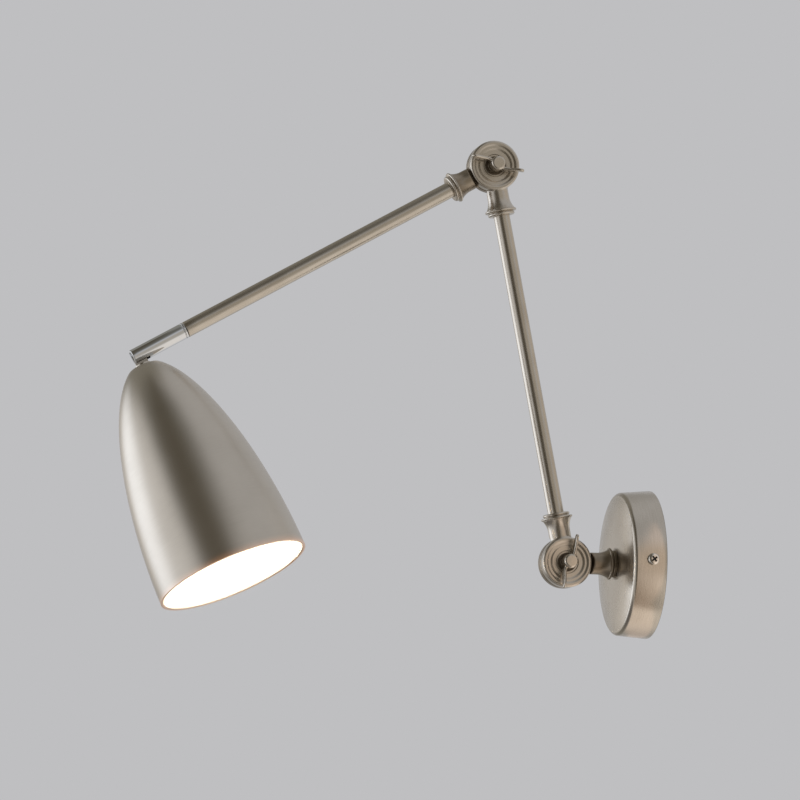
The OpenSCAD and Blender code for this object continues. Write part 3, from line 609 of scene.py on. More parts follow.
@dataclass
class Lamp:
    """The lamp's pivots and axes, as its joints give them, and the finishes that its pieces share."""

    def __post_init__(self) -> None:
        joints = {j["name"]: j for j in frame["joints"]}
        self.wall_pivot = Vector(joints["lower_knuckle"]["pos_m"])
        self.elbow = Vector(joints["upper_knuckle"]["pos_m"])
        self.tilt_pivot = Vector(joints["swivel_turn"]["pos_m"])
        self.across = Vector((1, 0, 0))
        self.tilt_axis = Vector(joints["head_tilt"]["axis"]).normalized()
        self.out_of_wall = Vector((0, -1, 0))
        self.lower_way = (self.elbow - self.wall_pivot).normalized()
        self.upper_way = Vector(joints["swivel_turn"]["axis"]).normalized()
        low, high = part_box("shade_washer")
        self.head_way = ((low + high) / 2 - self.tilt_pivot).normalized()
        self.made: dict[object, bpy.types.Material] = {}

    def finish(self, finish: object) -> bpy.types.Material:
        """Gives a finish's material, made once."""
        if finish not in self.made:
            self.made[finish] = finish.build()
        return self.made[finish]

    def dress(self, finish: object, *nodes: str) -> None:
        """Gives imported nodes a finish.

        Args:
            finish: the finish.
            nodes: the nodes' names.
        """
        for name in nodes:
            slots = frame["nodes"][name].data.materials
            slots.clear()
            slots.append(self.finish(finish))
            log.info("%s keeps its mesh, in %s", name, finish.__class__.__name__)

    def settle_piece(self, piece: bpy.types.Object, place: Place, body: str, slot: str,
                     finishes: Sequence[object], nodes: Sequence[str] = ()) -> None:
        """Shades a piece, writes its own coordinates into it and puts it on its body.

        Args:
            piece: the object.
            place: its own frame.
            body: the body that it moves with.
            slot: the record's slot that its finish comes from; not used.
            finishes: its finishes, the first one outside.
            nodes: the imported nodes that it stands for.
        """
        mesh = piece.data
        for finish in finishes:
            mesh.materials.append(self.finish(finish))
        mesh.polygons.foreach_set("use_smooth", [True] * len(mesh.polygons))
        mesh.set_sharp_from_angle(angle=SHARP_EDGE)
        local = mesh.attributes.new(LOCAL, "FLOAT_VECTOR", "POINT")
        local.data.foreach_set("vector", own_points(piece, place).astype(np.float32).ravel())
        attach(piece, body)
        if nodes:
            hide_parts(*nodes)
        log.info("%s made, %d faces, on %s", piece.name, len(mesh.polygons), body)


@dataclass
class WallPlate:
    """The canopy on the wall, its two side screws and what it covers."""

    lamp: Lamp
    back_d: float = 110.0
    front_d: float = 106.4
    depth: float = 24.6
    crown: float = 2.3
    crown_power: float = 3.2
    edge_r: float = 3.0
    back_r: float = 0.7
    wall: float = 1.2
    seat_r: float = 10.6
    hole_r: float = 4.9
    shadow_edge_h: float = 0.4

    def outline(self, inset: float) -> Profile:
        """Gives the canopy's profile from the wall to its middle.

        Args:
            inset: how far inside the outer face.

        Returns:
            Points of radius and height.
        """
        edge = self.edge_r - inset * 0.7
        front = self.front_d / 2 - inset
        crown_r = front - edge
        face = self.depth - inset
        steps = 40
        lean = math.degrees(math.atan(self.crown * self.crown_power / (crown_r - self.seat_r)))
        drop = edge * (1 - math.cos(math.radians(lean)))
        crown = [crown_r - (crown_r - self.seat_r) * (i / steps) ** 1.3 for i in range(1, steps + 1)]
        back = self.back_d / 2 - inset
        rolled = [(back, 0.0)]
        if inset == 0:
            rolled = arc((back - self.back_r, self.back_r), self.back_r, -90, 0, 6)
        return (rolled + [(front, face - edge)]
                + arc((crown_r, face - edge), edge, 6, 90 - lean, 10)
                + [(r, face - drop + (self.crown + drop)
                    * (1 - ((r - self.seat_r) / (crown_r - self.seat_r)) ** self.crown_power))
                   for r in crown] + [(self.hole_r, face + self.crown)])

    def build(self) -> None:
        """Builds the canopy and dresses what is behind it."""
        lamp = self.lamp
        place = Place(Vector((0, 0, 0)), lamp.out_of_wall, lamp.across)
        profile = self.outline(0.0) + list(reversed(self.outline(self.wall)))
        # Painted shadow: the canopy's back edge against the wall and the edge of its middle hole take the
        # dark painted-shade nickel
        canopy = turned("canopy_shell", profile, place, 192, closed=True,
                        inner=lambda radius, height: height < self.shadow_edge_h or radius < self.hole_r + 0.1)
        nickel = SatinNickel(name="satin_nickel_canopy", grain=Grain.AROUND, roughness=0.25)
        lamp.settle_piece(canopy, place, "wall_mount", "satin_nickel", [nickel, SHADE_PAINT_NICKEL], ["canopy"])
        PanScrews(lamp).build()
        lamp.dress(SatinNickel(name="nickel_bolts", packed=True, roughness=0.22), "lower_bolt", "upper_bolt")
        # Painted shade: the clamp washers sit in the knuckle recesses and get a dark nickel
        lamp.dress(SatinNickel(name="nickel_washers", hue="#6A5F52", cloud_hue="#554B40", roughness=0.42,
                               packed=True), "lower_clamp_washer", "upper_clamp_washer")
        lamp.dress(ZincPlate(), "wall_bracket", "stub_nipple", "lock_washer", "terminal_screws",
                   "block_screw")
        lamp.dress(TurnedBrass(), "earth_screw", "nipple_nut", "terminal_inserts")
        lamp.dress(Moulded("terminal_plastic", "#EFECE4", "#E4E0D6", 0.35), "terminal_block")
        self.dress_wires()

    def dress_wires(self) -> None:
        """Dresses the wires and the cable."""
        sheath = Moulded("cable_sheath", "#1D1D1D", "#262524", 0.5)
        wires = {
            "live_wire": Moulded("brown_wire", "#6B3A1C", "#5C3017", 0.35),
            "neutral_wire": Moulded("blue_wire", "#245CA8", "#1F5096", 0.35),
            "earth_wire": Moulded("green_wire", "#5E8C22", "#9AA52A", 0.35),
            "stub_cable": sheath, "lower_arm_cable": sheath, "upper_arm_cable": sheath,
            "swivel_wires": sheath, "head_wires": sheath,
        }
        for name, finish in wires.items():
            self.lamp.dress(finish, name)


@dataclass
class PanScrews:
    """The two pan head cross screws in the canopy's sides, with rolled threads."""

    lamp: Lamp
    head_d: float = 8.8
    head_h: float = 2.6
    shank_d: float = 4.0
    length: float = 9.0
    pitch: float = 0.7
    at: float = 10.5
    canopy_r: float = 55.0
    slope: float = 0.0783
    cross_w: float = 1.35
    cross_len: float = 4.8
    cross_h: float = 1.3
    turn: float = 38.0

    def profile(self) -> Profile:
        """Gives the screw's profile from the end of its shank to the top of its head."""
        shank, head = self.shank_d / 2, self.head_d / 2
        points = [(0.0, -self.length), (shank - 0.6, -self.length)]
        for i in range(int((self.length - 1.2) / self.pitch)):
            height = -self.length + 0.5 + self.pitch * i
            points += [(shank - 0.38, height), (shank, height + 0.45 * self.pitch)]
        points += [(shank - 0.38, -0.5), (shank, 0.0), (head - 0.3, 0.0), (head - 0.08, 0.1)]
        dome = [(head * math.cos(math.radians(a)) ** 0.55,
                 0.5 + (self.head_h - 0.5) * math.sin(math.radians(a))) for a in range(0, 90, 6)]
        return points + dome + [(0.0, self.head_h)]

    def seat(self) -> float:
        """Gives the distance from the canopy's axis to the head's seat."""
        return self.canopy_r - self.slope * self.at + self.slope * self.head_d / 2 + 0.15

    def build(self) -> None:
        """Builds both screws, with painted shade in their cross recesses."""
        lamp = self.lamp
        nickel = SatinNickel(name="nickel_screws", hue="#E2DDD4", cloud_hue="#D2CCC2", roughness=0.2,
                             bump=0.02)
        recess_shade = Moulded("recess_shadow", "#2A2622", "#1F1C19", 0.6)
        arm, half = self.cross_len / 2, self.cross_w / 2
        for side, name in ((1, "right"), (-1, "left")):
            origin = (lamp.out_of_wall * self.at + lamp.across * side * self.seat()) * MM
            along = Matrix.Rotation(math.radians(self.turn * side), 3, lamp.across) @ lamp.out_of_wall
            place = Place(origin, lamp.across * side, along)
            screw = turned(f"canopy_screw_{name}", self.profile(), place, 96)
            for x, y in ((arm, half), (half, arm)):
                cut = block("cross", ((-x, -y, self.head_h - self.cross_h), (x, y, self.head_h + 1)), place)
                combine(screw, cut, "DIFFERENCE")
            lamp.settle_piece(screw, place, "wall_mount", "satin_nickel", [nickel, recess_shade],
                              ["canopy_screws"] if side == 1 else [])
            self.paint_recess_shade(screw, place)

    def paint_recess_shade(self, screw: bpy.types.Object, place: Place) -> None:
        """Paints shade on the floor and walls of the cross recess.

        Args:
            screw: the screw.
            place: the screw's frame.
        """
        back = np.array(place.matrix().inverted())
        long, short = self.cross_len / 2 + 0.02, self.cross_w / 2 + 0.02
        floor, edge = 0.6, self.head_h - 0.25
        for face in screw.data.polygons:
            x, y, z = back[:3, :3] @ np.array(face.center) + back[:3, 3]
            x, y = abs(x), abs(y)
            if floor < z < edge and ((x < long and y < short) or (x < short and y < long)):
                face.material_index = 1


@dataclass
class KnuckleHalf:
    """One half of a knuckle: a disc with turned rings, a neck, a flange and a bead."""

    lamp: Lamp
    disc_d: float = 37.5
    knuckle_t: float = 17.4
    gap: float = 0.8
    waist_d: float = 16.2
    flange_d: float = 23.5
    bead_d: float = 20.0
    length: float = 37.2
    edge_r: float = 1.85
    relief: float = 1.7
    recess_r: float = 8.2
    recess_depth: float = 2.3
    step_h: float = 0.55
    step_w: float = 2.3
    mouth_r: float = 0.6
    skin: float = 0.4
    fillet: float = 3.2
    flange_t: float = 1.7
    bead_t: float = 2.2
    bore_r: float = 6.05
    bolt_r: float = 2.6
    neck_inside: float = 5.0

    def __post_init__(self) -> None:
        self.disc_r = self.disc_d / 2
        self.half_t = self.knuckle_t / 2
        self.waist_r = self.waist_d / 2
        self.outer_step = self.disc_r - 2.3
        self.inner_step = self.disc_r - 5.3
        self.flange_at = self.length - 4.4
        self.flare_start = 24.0

    def disc_profile(self) -> Profile:
        """Gives the cast disc without its turned face, from the middle of its back to its front."""
        top, back = self.half_t, self.gap / 2
        return [(0.0, back), (self.disc_r - 0.5, back), (self.disc_r, back + 0.5)] + arc(
            (self.disc_r - self.edge_r, top - self.edge_r), self.edge_r, 0, 90, 10) + [
            (self.outer_step + 0.1, top), (self.outer_step, top - 1.6), (0.0, top - 2.6)]

    def face_profile(self) -> Profile:
        """Gives the turned rings and the recess of the disc's face, as a closed ring."""
        top, floor = self.half_t, self.half_t - self.recess_depth
        ledge = top - 2 * self.step_h
        mouth = arc((self.recess_r + self.mouth_r, ledge - self.mouth_r), self.mouth_r, 180, 90, 8)
        rises = []
        for step, low in ((self.inner_step, ledge), (self.outer_step, ledge + self.step_h)):
            for i in range(11):
                t = i / 10
                rises.append((step + self.step_w * (t - 1), low + self.step_h * t * t * (3 - 2 * t)))
        return ([(self.bolt_r, floor - 0.8), (self.bolt_r, floor), (self.recess_r, floor)] + mouth + rises
                + [(self.outer_step + 0.5, top - 0.01), (self.outer_step + 0.5, top - 1.2),
                   (self.recess_r + 1, floor - 0.8)])

    def neck_profile(self) -> Profile:
        """Gives the neck's waist and flare, up to under the flange."""
        rise = self.flange_at - self.flare_start
        out = self.flange_d / 2 - 0.9 - self.waist_r
        turn = 2 * math.degrees(math.atan(out / rise))
        radius = rise / math.sin(math.radians(turn))
        root = self.disc_r - self.neck_inside
        return ([(0.0, root), (self.waist_r, root)]
                + arc((self.waist_r + radius, self.flare_start), radius, 180, 180 - turn, 16)
                + [(0.0, self.flange_at)])

    def collar_profile(self) -> Profile:
        """Gives the flange and the bead beyond it, as a closed ring round the tube."""
        lip, bead = self.flange_d / 2, self.bead_d / 2
        flange_r, bead_r = self.flange_t / 2, self.bead_t / 2
        return ([(self.bore_r, self.flange_at - 0.6), (lip - 2.2, self.flange_at - 0.6)]
                + arc((lip - flange_r, self.flange_at + flange_r), flange_r, -75, 80, 10)
                + [(bead - 0.8, self.length - self.bead_t - 0.3)]
                + arc((bead - bead_r, self.length - bead_r), bead_r, -75, 90, 10)
                + [(self.bore_r + 0.35, self.length), (self.bore_r, self.length - 0.35)])

    def near_joint(self, points: np.ndarray) -> np.ndarray:
        """Gives each point's share in the fillet between the disc's rim and the neck."""
        rim = np.abs(np.hypot(points[:, 1], points[:, 2]) - self.disc_r)
        neck = np.abs(np.hypot(points[:, 0], points[:, 1]) - self.waist_r)
        far = np.maximum(rim, neck) / self.fillet
        return np.where(points[:, 2] > 0, np.clip(1.5 - 1.5 * far, 0, 1), 0)

    def build(self, node: str, body: str, pivot: Vector, way: Vector, side: int) -> None:
        """Builds one half.

        Args:
            node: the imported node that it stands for.
            body: the body that it moves with.
            pivot: the knuckle's pivot.
            way: the way from the pivot along the neck.
            side: 1 for a disc on the +X side, -1 for one on the -X side.
        """
        lamp = self.lamp
        neck_place = Place(pivot, way, lamp.across)
        disc_place = Place(pivot, lamp.across * side, way)
        casting = turned(f"{node}_casting", self.neck_profile(), neck_place, 96)
        near, far, wide = -self.gap / 2 - 0.001, self.half_t + self.waist_r, self.disc_r + self.relief
        room = turned("room", [(0.0, near), (wide, near), (wide, far), (0.0, far)],
                      Place(pivot, lamp.across * -side, way), 96)
        combine(casting, room, "DIFFERENCE")
        combine(casting, turned("disc", self.disc_profile(), disc_place, 96), "UNION")
        fused(casting, self.skin)
        smoothed(casting, neck_place, 2)
        smoothed(casting, neck_place, 30, self.near_joint)
        cast = SatinNickel(name="satin_nickel_cast", mark=0.35, grain=Grain.CAST)
        ring = SatinNickel(name="satin_nickel_round", grain=Grain.AROUND)
        # Painted shade: halves on the -X side, shaded by their discs, get a darker copy of the nickel, and on
        # the wall stub so does the collar
        if side < 0:
            cast = SatinNickel(name="satin_nickel_dull", hue="#A39889", cloud_hue="#948978", mark=0.35,
                               roughness=0.34)
        if body == "wall_mount":
            ring = cast
        lamp.settle_piece(casting, neck_place, body, "satin_nickel", [cast], [node])
        # Painted shade: the recess inside the turned rings takes the dark painted-shade nickel
        face = turned(f"{node}_face", self.face_profile(), disc_place, 144, closed=True,
                      inner=lambda radius, height: radius < self.recess_r + 0.2)
        lamp.settle_piece(face, disc_place, body, "satin_nickel",
                          [SatinNickel(name="satin_nickel_turned", grain=Grain.RINGS), SHADE_PAINT_NICKEL])
        collar = turned(f"{node}_collar", softened(self.collar_profile(), 0.2), neck_place, 96, closed=True)
        lamp.settle_piece(collar, neck_place, body, "satin_nickel", [ring])


@dataclass
class WingNut:
    """A cast wing nut: a round hub with a closed end and two wings."""

    lamp: Lamp
    hub_d: float = 10.5
    height: float = 13.1
    span: float = 41.0
    wing_t: float = 2.2
    root_at: float = -1.5
    tip_at: float = 0.9
    root: float = 1.2
    tip_r: float = 2.9
    skin: float = 0.28

    def wing(self, name: str, place: Place, base: float, side: int) -> bpy.types.Object:
        """Builds one wing: round at its edges, off centre at the hub and bent back at its tip.

        Args:
            name: the object's name.
            place: the nut's frame, with its wings along X.
            base: height of the nut's foot.
            side: 1 or -1, the way that the wing points.

        Returns:
            The wing.
        """
        tip, low, high = self.span / 2, base + self.root, base + self.height
        ball = (tip - self.tip_r, high - 3.2)
        under = [(0.5, low), (self.hub_d / 2, low), (tip * 0.55, low + 1.4), (tip - 3, high - 6.4)] + arc(
            ball, self.tip_r, -60, 0, 8)
        above = [(0.5, high - 4.2), (self.hub_d / 2 + 0.8, high - 4.2), (tip * 0.52, high - 3.1),
                 (tip * 0.72, high - 1.2)] + arc(ball, self.tip_r, 100, 0, 12)
        steady = [0.5 + (ball[0] - 0.5) * i / 22 for i in range(22)]
        columns = steady + [ball[0] + self.tip_r * math.sin(math.radians(8 * i)) for i in range(12)]
        made, rings, corners = bmesh.new(), [], 16
        for x in columns:
            bottom, top = (float(np.interp(x, *zip(*edge))) for edge in (under, above))
            t = min(x / tip, 1.0)
            bent = max(0.0, (t - 0.3) / 0.7)
            middle = self.root_at + (self.tip_at - self.root_at) * bent * bent * (3 - 2 * bent)
            half = self.wing_t / 2 * (1.12 - 0.22 * t)
            nose = min(0.8, (top - bottom) / 2)
            ring = []
            for k in range(corners):
                turn = 2 * math.pi * (k + 0.5) / corners
                end = top - nose if k < corners / 2 else bottom + nose
                ring.append(made.verts.new((side * x, side * (middle + half * math.cos(turn)),
                                            end + nose * math.sin(turn))))
            rings.append(ring)
        made.faces.new(rings[0])
        made.faces.new(rings[-1])
        for one, two in zip(rings, rings[1:]):
            for k in range(corners):
                n = (k + 1) % corners
                made.faces.new((one[k], two[k], two[n], one[n]))
        bmesh.ops.recalc_face_normals(made, faces=made.faces)
        return made_object(name, made, place)

    def build(self, node: str, body: str, pivot: Vector, base: float) -> None:
        """Builds a wing nut.

        Args:
            node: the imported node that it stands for.
            body: the body that it moves with.
            pivot: the knuckle's pivot.
            base: height of its foot above the pivot, along the bolt.
        """
        place = Place(pivot, self.lamp.across, self.wing_way(node, pivot))
        radius, top = self.hub_d / 2, base + self.height
        hub = [(0.0, base), (radius + 0.5, base), (radius + 0.5, base + 0.9), (radius, base + 1.7),
               (radius, top - 0.9), (radius - 0.9, top), (0.0, top + 0.12)]
        nut = turned(f"{node}_casting", softened(hub, 0.7), place, 96)
        for side in (-1, 1):
            combine(nut, self.wing("wing", place, base, side), "UNION")
        fused(nut, self.skin)
        smoothed(nut, place, 5)
        self.lamp.settle_piece(nut, place, body, "satin_nickel",
                               [SatinNickel(name="satin_nickel_nut", hue="#D6CEC2", roughness=0.25)], [node])

    def wing_way(self, node: str, pivot: Vector) -> Vector:
        """Finds the way of a nut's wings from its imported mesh: the way to its farthest point."""
        points = [v.co - pivot for v in frame["nodes"][node].data.vertices]
        far = max(points, key=lambda p: p.y ** 2 + p.z ** 2)
        tips = [p for p in points if math.hypot(p.y, p.z) > 0.97 * math.hypot(far.y, far.z)
                and p.y * far.y + p.z * far.z > 0]
        mean = sum(tips, Vector()) / len(tips)
        return Vector((0, mean.y, mean.z)).normalized()


@dataclass
class ArmTube:
    """A drawn and brushed tube between two knuckle halves."""

    lamp: Lamp
    outer_d: float = 12.0
    wall: float = 1.3

    def build(self, node: str, body: str, pivot: Vector, way: Vector, span: tuple[float, float]) -> None:
        """Builds a tube.

        Args:
            node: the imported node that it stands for.
            body: the body that it moves with.
            pivot: where its lengths are measured from.
            way: the way along it.
            span: its start and its end.
        """
        outer, bore = self.outer_d / 2, self.outer_d / 2 - self.wall
        place = Place(pivot, way, self.lamp.across)
        stretches = 24
        step = (span[1] - span[0]) / stretches
        side = [(outer, span[0] + step * i) for i in range(stretches + 1)]
        profile = softened([(bore, span[0])] + side + [(bore, span[1])], 0.25)
        tube = turned(f"{node}_drawn", profile, place, 96, closed=True)
        self.lamp.settle_piece(tube, place, body, "satin_nickel",
                               [SatinNickel(name="satin_nickel_tube", grain=Grain.ALONG, roughness=0.25)],
                               [node])


@dataclass
class SwivelEnd:
    """The polished end of the upper arm, with a slot for the shade's tongue and its tilt pin."""

    lamp: Lamp
    outer_d: float = 12.0
    back: float = 39.1
    tip: float = 5.0
    slot_w: float = 5.2
    slot_depth: float = 11.5
    pin_d: float = 3.0

    def build(self) -> None:
        """Builds the swivel end and dresses its small parts."""
        lamp = self.lamp
        place = Place(lamp.tilt_pivot, lamp.upper_way, lamp.tilt_axis)
        radius = self.outer_d / 2
        seam = -self.back
        outline = softened([(0.0, seam), (radius - 0.25, seam), (radius + 0.1, seam + 0.3),
                            (radius + 0.1, seam + 1.5), (radius - 0.45, seam + 1.65),
                            (radius - 0.45, seam + 2.05), (radius, seam + 2.25), (radius, self.tip),
                            (0.0, self.tip)], 0.5, 6)
        end = turned("swivel_end_polished", outline, place, 192)
        reach = 2 * radius
        combine(end, block("slot", ((-self.slot_w / 2, -reach, self.tip - self.slot_depth),
                                    (self.slot_w / 2, reach, self.tip + 1)), place), "DIFFERENCE")
        pin_place = Place(lamp.tilt_pivot - lamp.tilt_axis * reach * MM, lamp.tilt_axis, lamp.upper_way)
        pin_r = self.pin_d / 2
        rod = [(0.0, 0.0), (pin_r, 0.0), (pin_r, 2 * reach), (0.0, 2 * reach)]
        combine(end, turned("hole", [(r * 1.015, z) for r, z in rod], pin_place, 96), "DIFFERENCE")
        pin = turned("tilt_pin_flush", rod, pin_place, 96)
        limit = [(0.0, -reach), (radius, -reach), (radius, reach), (0.0, reach)]
        combine(pin, turned("limit", limit, place, 192), "INTERSECT")
        chrome = PolishedChrome(grain=Grain.AROUND)
        lamp.settle_piece(end, place, "swivel", "polished_chrome", [chrome], ["swivel_fork"])
        lamp.settle_piece(pin, place, "swivel", "polished_chrome", [chrome], ["tilt_pin"])
        lamp.dress(Moulded("washer_plastic", "#E6E3DC", "#DDD9D1", 0.45), "tilt_washers")
        lamp.dress(ZincPlate(), "swivel_clip")
        lamp.dress(TurnedBrass(), "swivel_bush")


@dataclass
class Shade:
    """The spun bullet shaped shade: satin nickel outside, white enamel inside, with a rolled rim."""

    lamp: Lamp
    mouth_d: float = 112.0
    reach: float = 180.2
    top: float = 10.4
    top_d: float = 19.0
    power: float = 1.9
    wall: float = 1.0
    rim_t: float = 2.4
    rim_h: float = 3.0
    hole_r: float = 5.15

    def radius_at(self, height: float) -> float:
        """Gives the outer radius at a height on the shade's axis."""
        start = self.top - 4.2
        share = (height - start) / (self.reach - start)
        return self.mouth_d / 2 * (1 - (1 - share) ** self.power) ** (1 / self.power)

    def outline(self, steps: int = 72) -> Profile:
        """Gives the outer curve from the flat top to the mouth."""
        join = self.top + 1.12
        heights = [join + (self.reach - join) * (i / steps) ** 1.4 for i in range(steps + 1)]
        return [(self.radius_at(z), z) for z in heights]

    def build(self) -> None:
        """Builds the shade and dresses its hinge."""
        lamp = self.lamp
        place = Place(lamp.tilt_pivot, lamp.head_way, lamp.tilt_axis)
        outer = self.outline()
        mouth = self.mouth_d / 2
        rim_top = self.reach - self.rim_h
        inner: Profile = []
        for before, point, after in reversed(list(zip(outer, outer[1:], outer[2:]))):
            if point[1] < rim_top:
                way = (Vector(after) - Vector(before)).normalized()
                inner.append((point[0] - way[1] * self.wall, point[1] + way[0] * self.wall))
        rim = softened([outer[-1], (mouth - 0.3 * self.rim_t, self.reach + 0.3),
                        (mouth - 0.7 * self.rim_t, self.reach + 0.3), (mouth - self.rim_t, self.reach - 0.4),
                        (mouth - self.rim_t, rim_top + 1), (self.radius_at(rim_top) - self.wall, rim_top)],
                       0.4)
        shoulder = softened([(self.hole_r, self.top), (self.top_d / 2 - 0.4, self.top), outer[0]], 0.6, 5)
        profile = shoulder[:-1] + outer[:-1] + rim + inner + [
            (self.top_d / 2 - 1.0, self.top + self.wall), (self.hole_r, self.top + self.wall)]

        def is_inside(radius: float, height: float) -> bool:
            """Says whether a stretch of the profile is inside the shade."""
            return (height < self.reach - 0.3 and radius < self.radius_at(max(height, self.top)) - 0.45
                    and height > self.top + 0.5)

        shade = turned("shade_spun", profile, place, 192, closed=True, inner=is_inside)
        lamp.settle_piece(shade, place, "head", "satin_nickel",
                          [ShadeNickel(rim_at=self.reach), WhiteEnamel()], ["shade"])
        lamp.dress(SatinNickel(name="nickel_hinge", packed=True, roughness=0.25), "shade_hinge")
        lamp.dress(ZincPlate(), "shade_washer")
        lamp.dress(TurnedBrass(), "shade_nut")


@dataclass
class LampInside:
    """The lamp holder and the lit bulb."""

    lamp: Lamp
    holder_end: float = 61.4
    bulb_d: float = 55.0
    bulb_len: float = 72.0
    neck_r: float = 12.2
    cap_end: float = 62.9

    def bulb_profile(self) -> Profile:
        """Gives the bulb's outline from inside its cap to its tip."""
        radius = self.bulb_d / 2
        centre = self.holder_end + self.bulb_len - radius
        flare = self.cap_end + 4
        join = math.radians(148)
        low, wide = centre + radius * math.cos(join), radius * math.sin(join)
        neck = [(self.neck_r, self.cap_end - 5.5), (self.neck_r, flare)]
        steps = 16
        for i in range(1, steps):
            t = i / steps
            rise = t * t * (3 - 2 * t) * (1 - t) + t * t
            neck.append((self.neck_r + (wide - self.neck_r) * rise, flare + (low - flare) * t))
        ball = [(radius * math.sin(math.radians(a)), centre + radius * math.cos(math.radians(a)))
                for a in range(148, 2, -4)]
        return [(0.0, self.cap_end - 5.5)] + neck + ball + [(0.0, centre + radius)]

    def build(self) -> None:
        """Builds the bulb and dresses its holder."""
        lamp = self.lamp
        place = Place(lamp.tilt_pivot, lamp.head_way, lamp.tilt_axis)
        bulb = turned("bulb_opal", self.bulb_profile(), place, 128)
        lamp.settle_piece(bulb, place, "head", "opal_glass", [OpalGlass()], ["bulb_glass"])
        lamp.dress(Moulded("holder_plastic", "#F0EDE6", "#E9E5DC", 0.3), "lamp_holder")
        lamp.dress(TurnedBrass(), "holder_shell", "holder_contact")
        lamp.dress(ZincPlate(), "bulb_cap", "bulb_contact")


@dataclass
class Arms:
    """The two arms, their four knuckle halves and what clamps them."""

    lamp: Lamp
    socket_depth: float = 10.0
    swivel_from: float = 39.5
    nut_base: float = 7.6

    def build(self) -> None:
        """Builds the arms from the wall to the swivel end."""
        lamp = self.lamp
        half, tube, nut = KnuckleHalf(lamp), ArmTube(lamp), WingNut(lamp)
        half.build("wall_stub", "wall_mount", lamp.wall_pivot, -lamp.out_of_wall, -1)
        half.build("lower_arm_base", "lower_arm", lamp.wall_pivot, lamp.lower_way, 1)
        half.build("lower_arm_head", "lower_arm", lamp.elbow, -lamp.lower_way, 1)
        half.build("upper_arm_base", "upper_arm", lamp.elbow, lamp.upper_way, -1)
        start = half.length - self.socket_depth
        lower_end = (lamp.elbow - lamp.wall_pivot).length / MM - start
        upper_end = (lamp.tilt_pivot - lamp.elbow).length / MM - self.swivel_from
        tube.build("lower_arm_tube", "lower_arm", lamp.wall_pivot, lamp.lower_way, (start, lower_end))
        tube.build("upper_arm_tube", "upper_arm", lamp.elbow, lamp.upper_way, (start, upper_end))
        nut.build("lower_wing_nut", "lower_nut", lamp.wall_pivot, self.nut_base)
        nut.build("upper_wing_nut", "upper_nut", lamp.elbow, self.nut_base)
        lamp.dress(Moulded("friction_rubber", "#232221", "#2B2A28", 0.7), "lower_friction_ring",
                   "upper_friction_ring")


# Studio


@dataclass(frozen=True)
class Patch:
    """A soft patch of the surroundings; an upright one reaches from floor to ceiling and may lean."""

    hue: str
    azimuth: float
    elevation: float
    full: float
    none: float
    strength: float = 1.0
    upright: bool = False
    lean: float = 0.0

    def share(self, tree: bpy.types.NodeTree, way: bpy.types.NodeSocket) -> bpy.types.NodeSocket:
        """Gives how much a direction belongs to the patch: 1 up to `full` degrees from its middle.

        Args:
            tree: the surroundings' node tree.
            way: the direction.

        Returns:
            The share, which is 0 from `none` degrees on.
        """
        a, e = math.radians(self.azimuth), math.radians(self.elevation)
        middle = (math.cos(e) * math.cos(a), math.cos(e) * math.sin(a), math.sin(e))
        if self.upright:
            sheared = [add_node(tree, "ShaderNodeVectorMath", {0: way, 1: row}, operation="DOT_PRODUCT")
                       for row in ((1, 0, -self.lean * math.sin(a)), (0, 1, self.lean * math.cos(a)))]
            flat = add_node(tree, "ShaderNodeCombineXYZ", {"X": sheared[0].outputs["Value"],
                                                           "Y": sheared[1].outputs["Value"]})
            level = add_node(tree, "ShaderNodeVectorMath", {0: flat.outputs[0]}, operation="NORMALIZE")
            way = level.outputs[0]
        near = add_node(tree, "ShaderNodeVectorMath", {0: way, 1: middle}, operation="DOT_PRODUCT")
        return add_node(tree, "ShaderNodeMapRange", {
            "Value": near.outputs["Value"], "From Min": math.cos(math.radians(self.none)),
            "From Max": math.cos(math.radians(self.full))}, interpolation_type="SMOOTHSTEP").outputs["Result"]


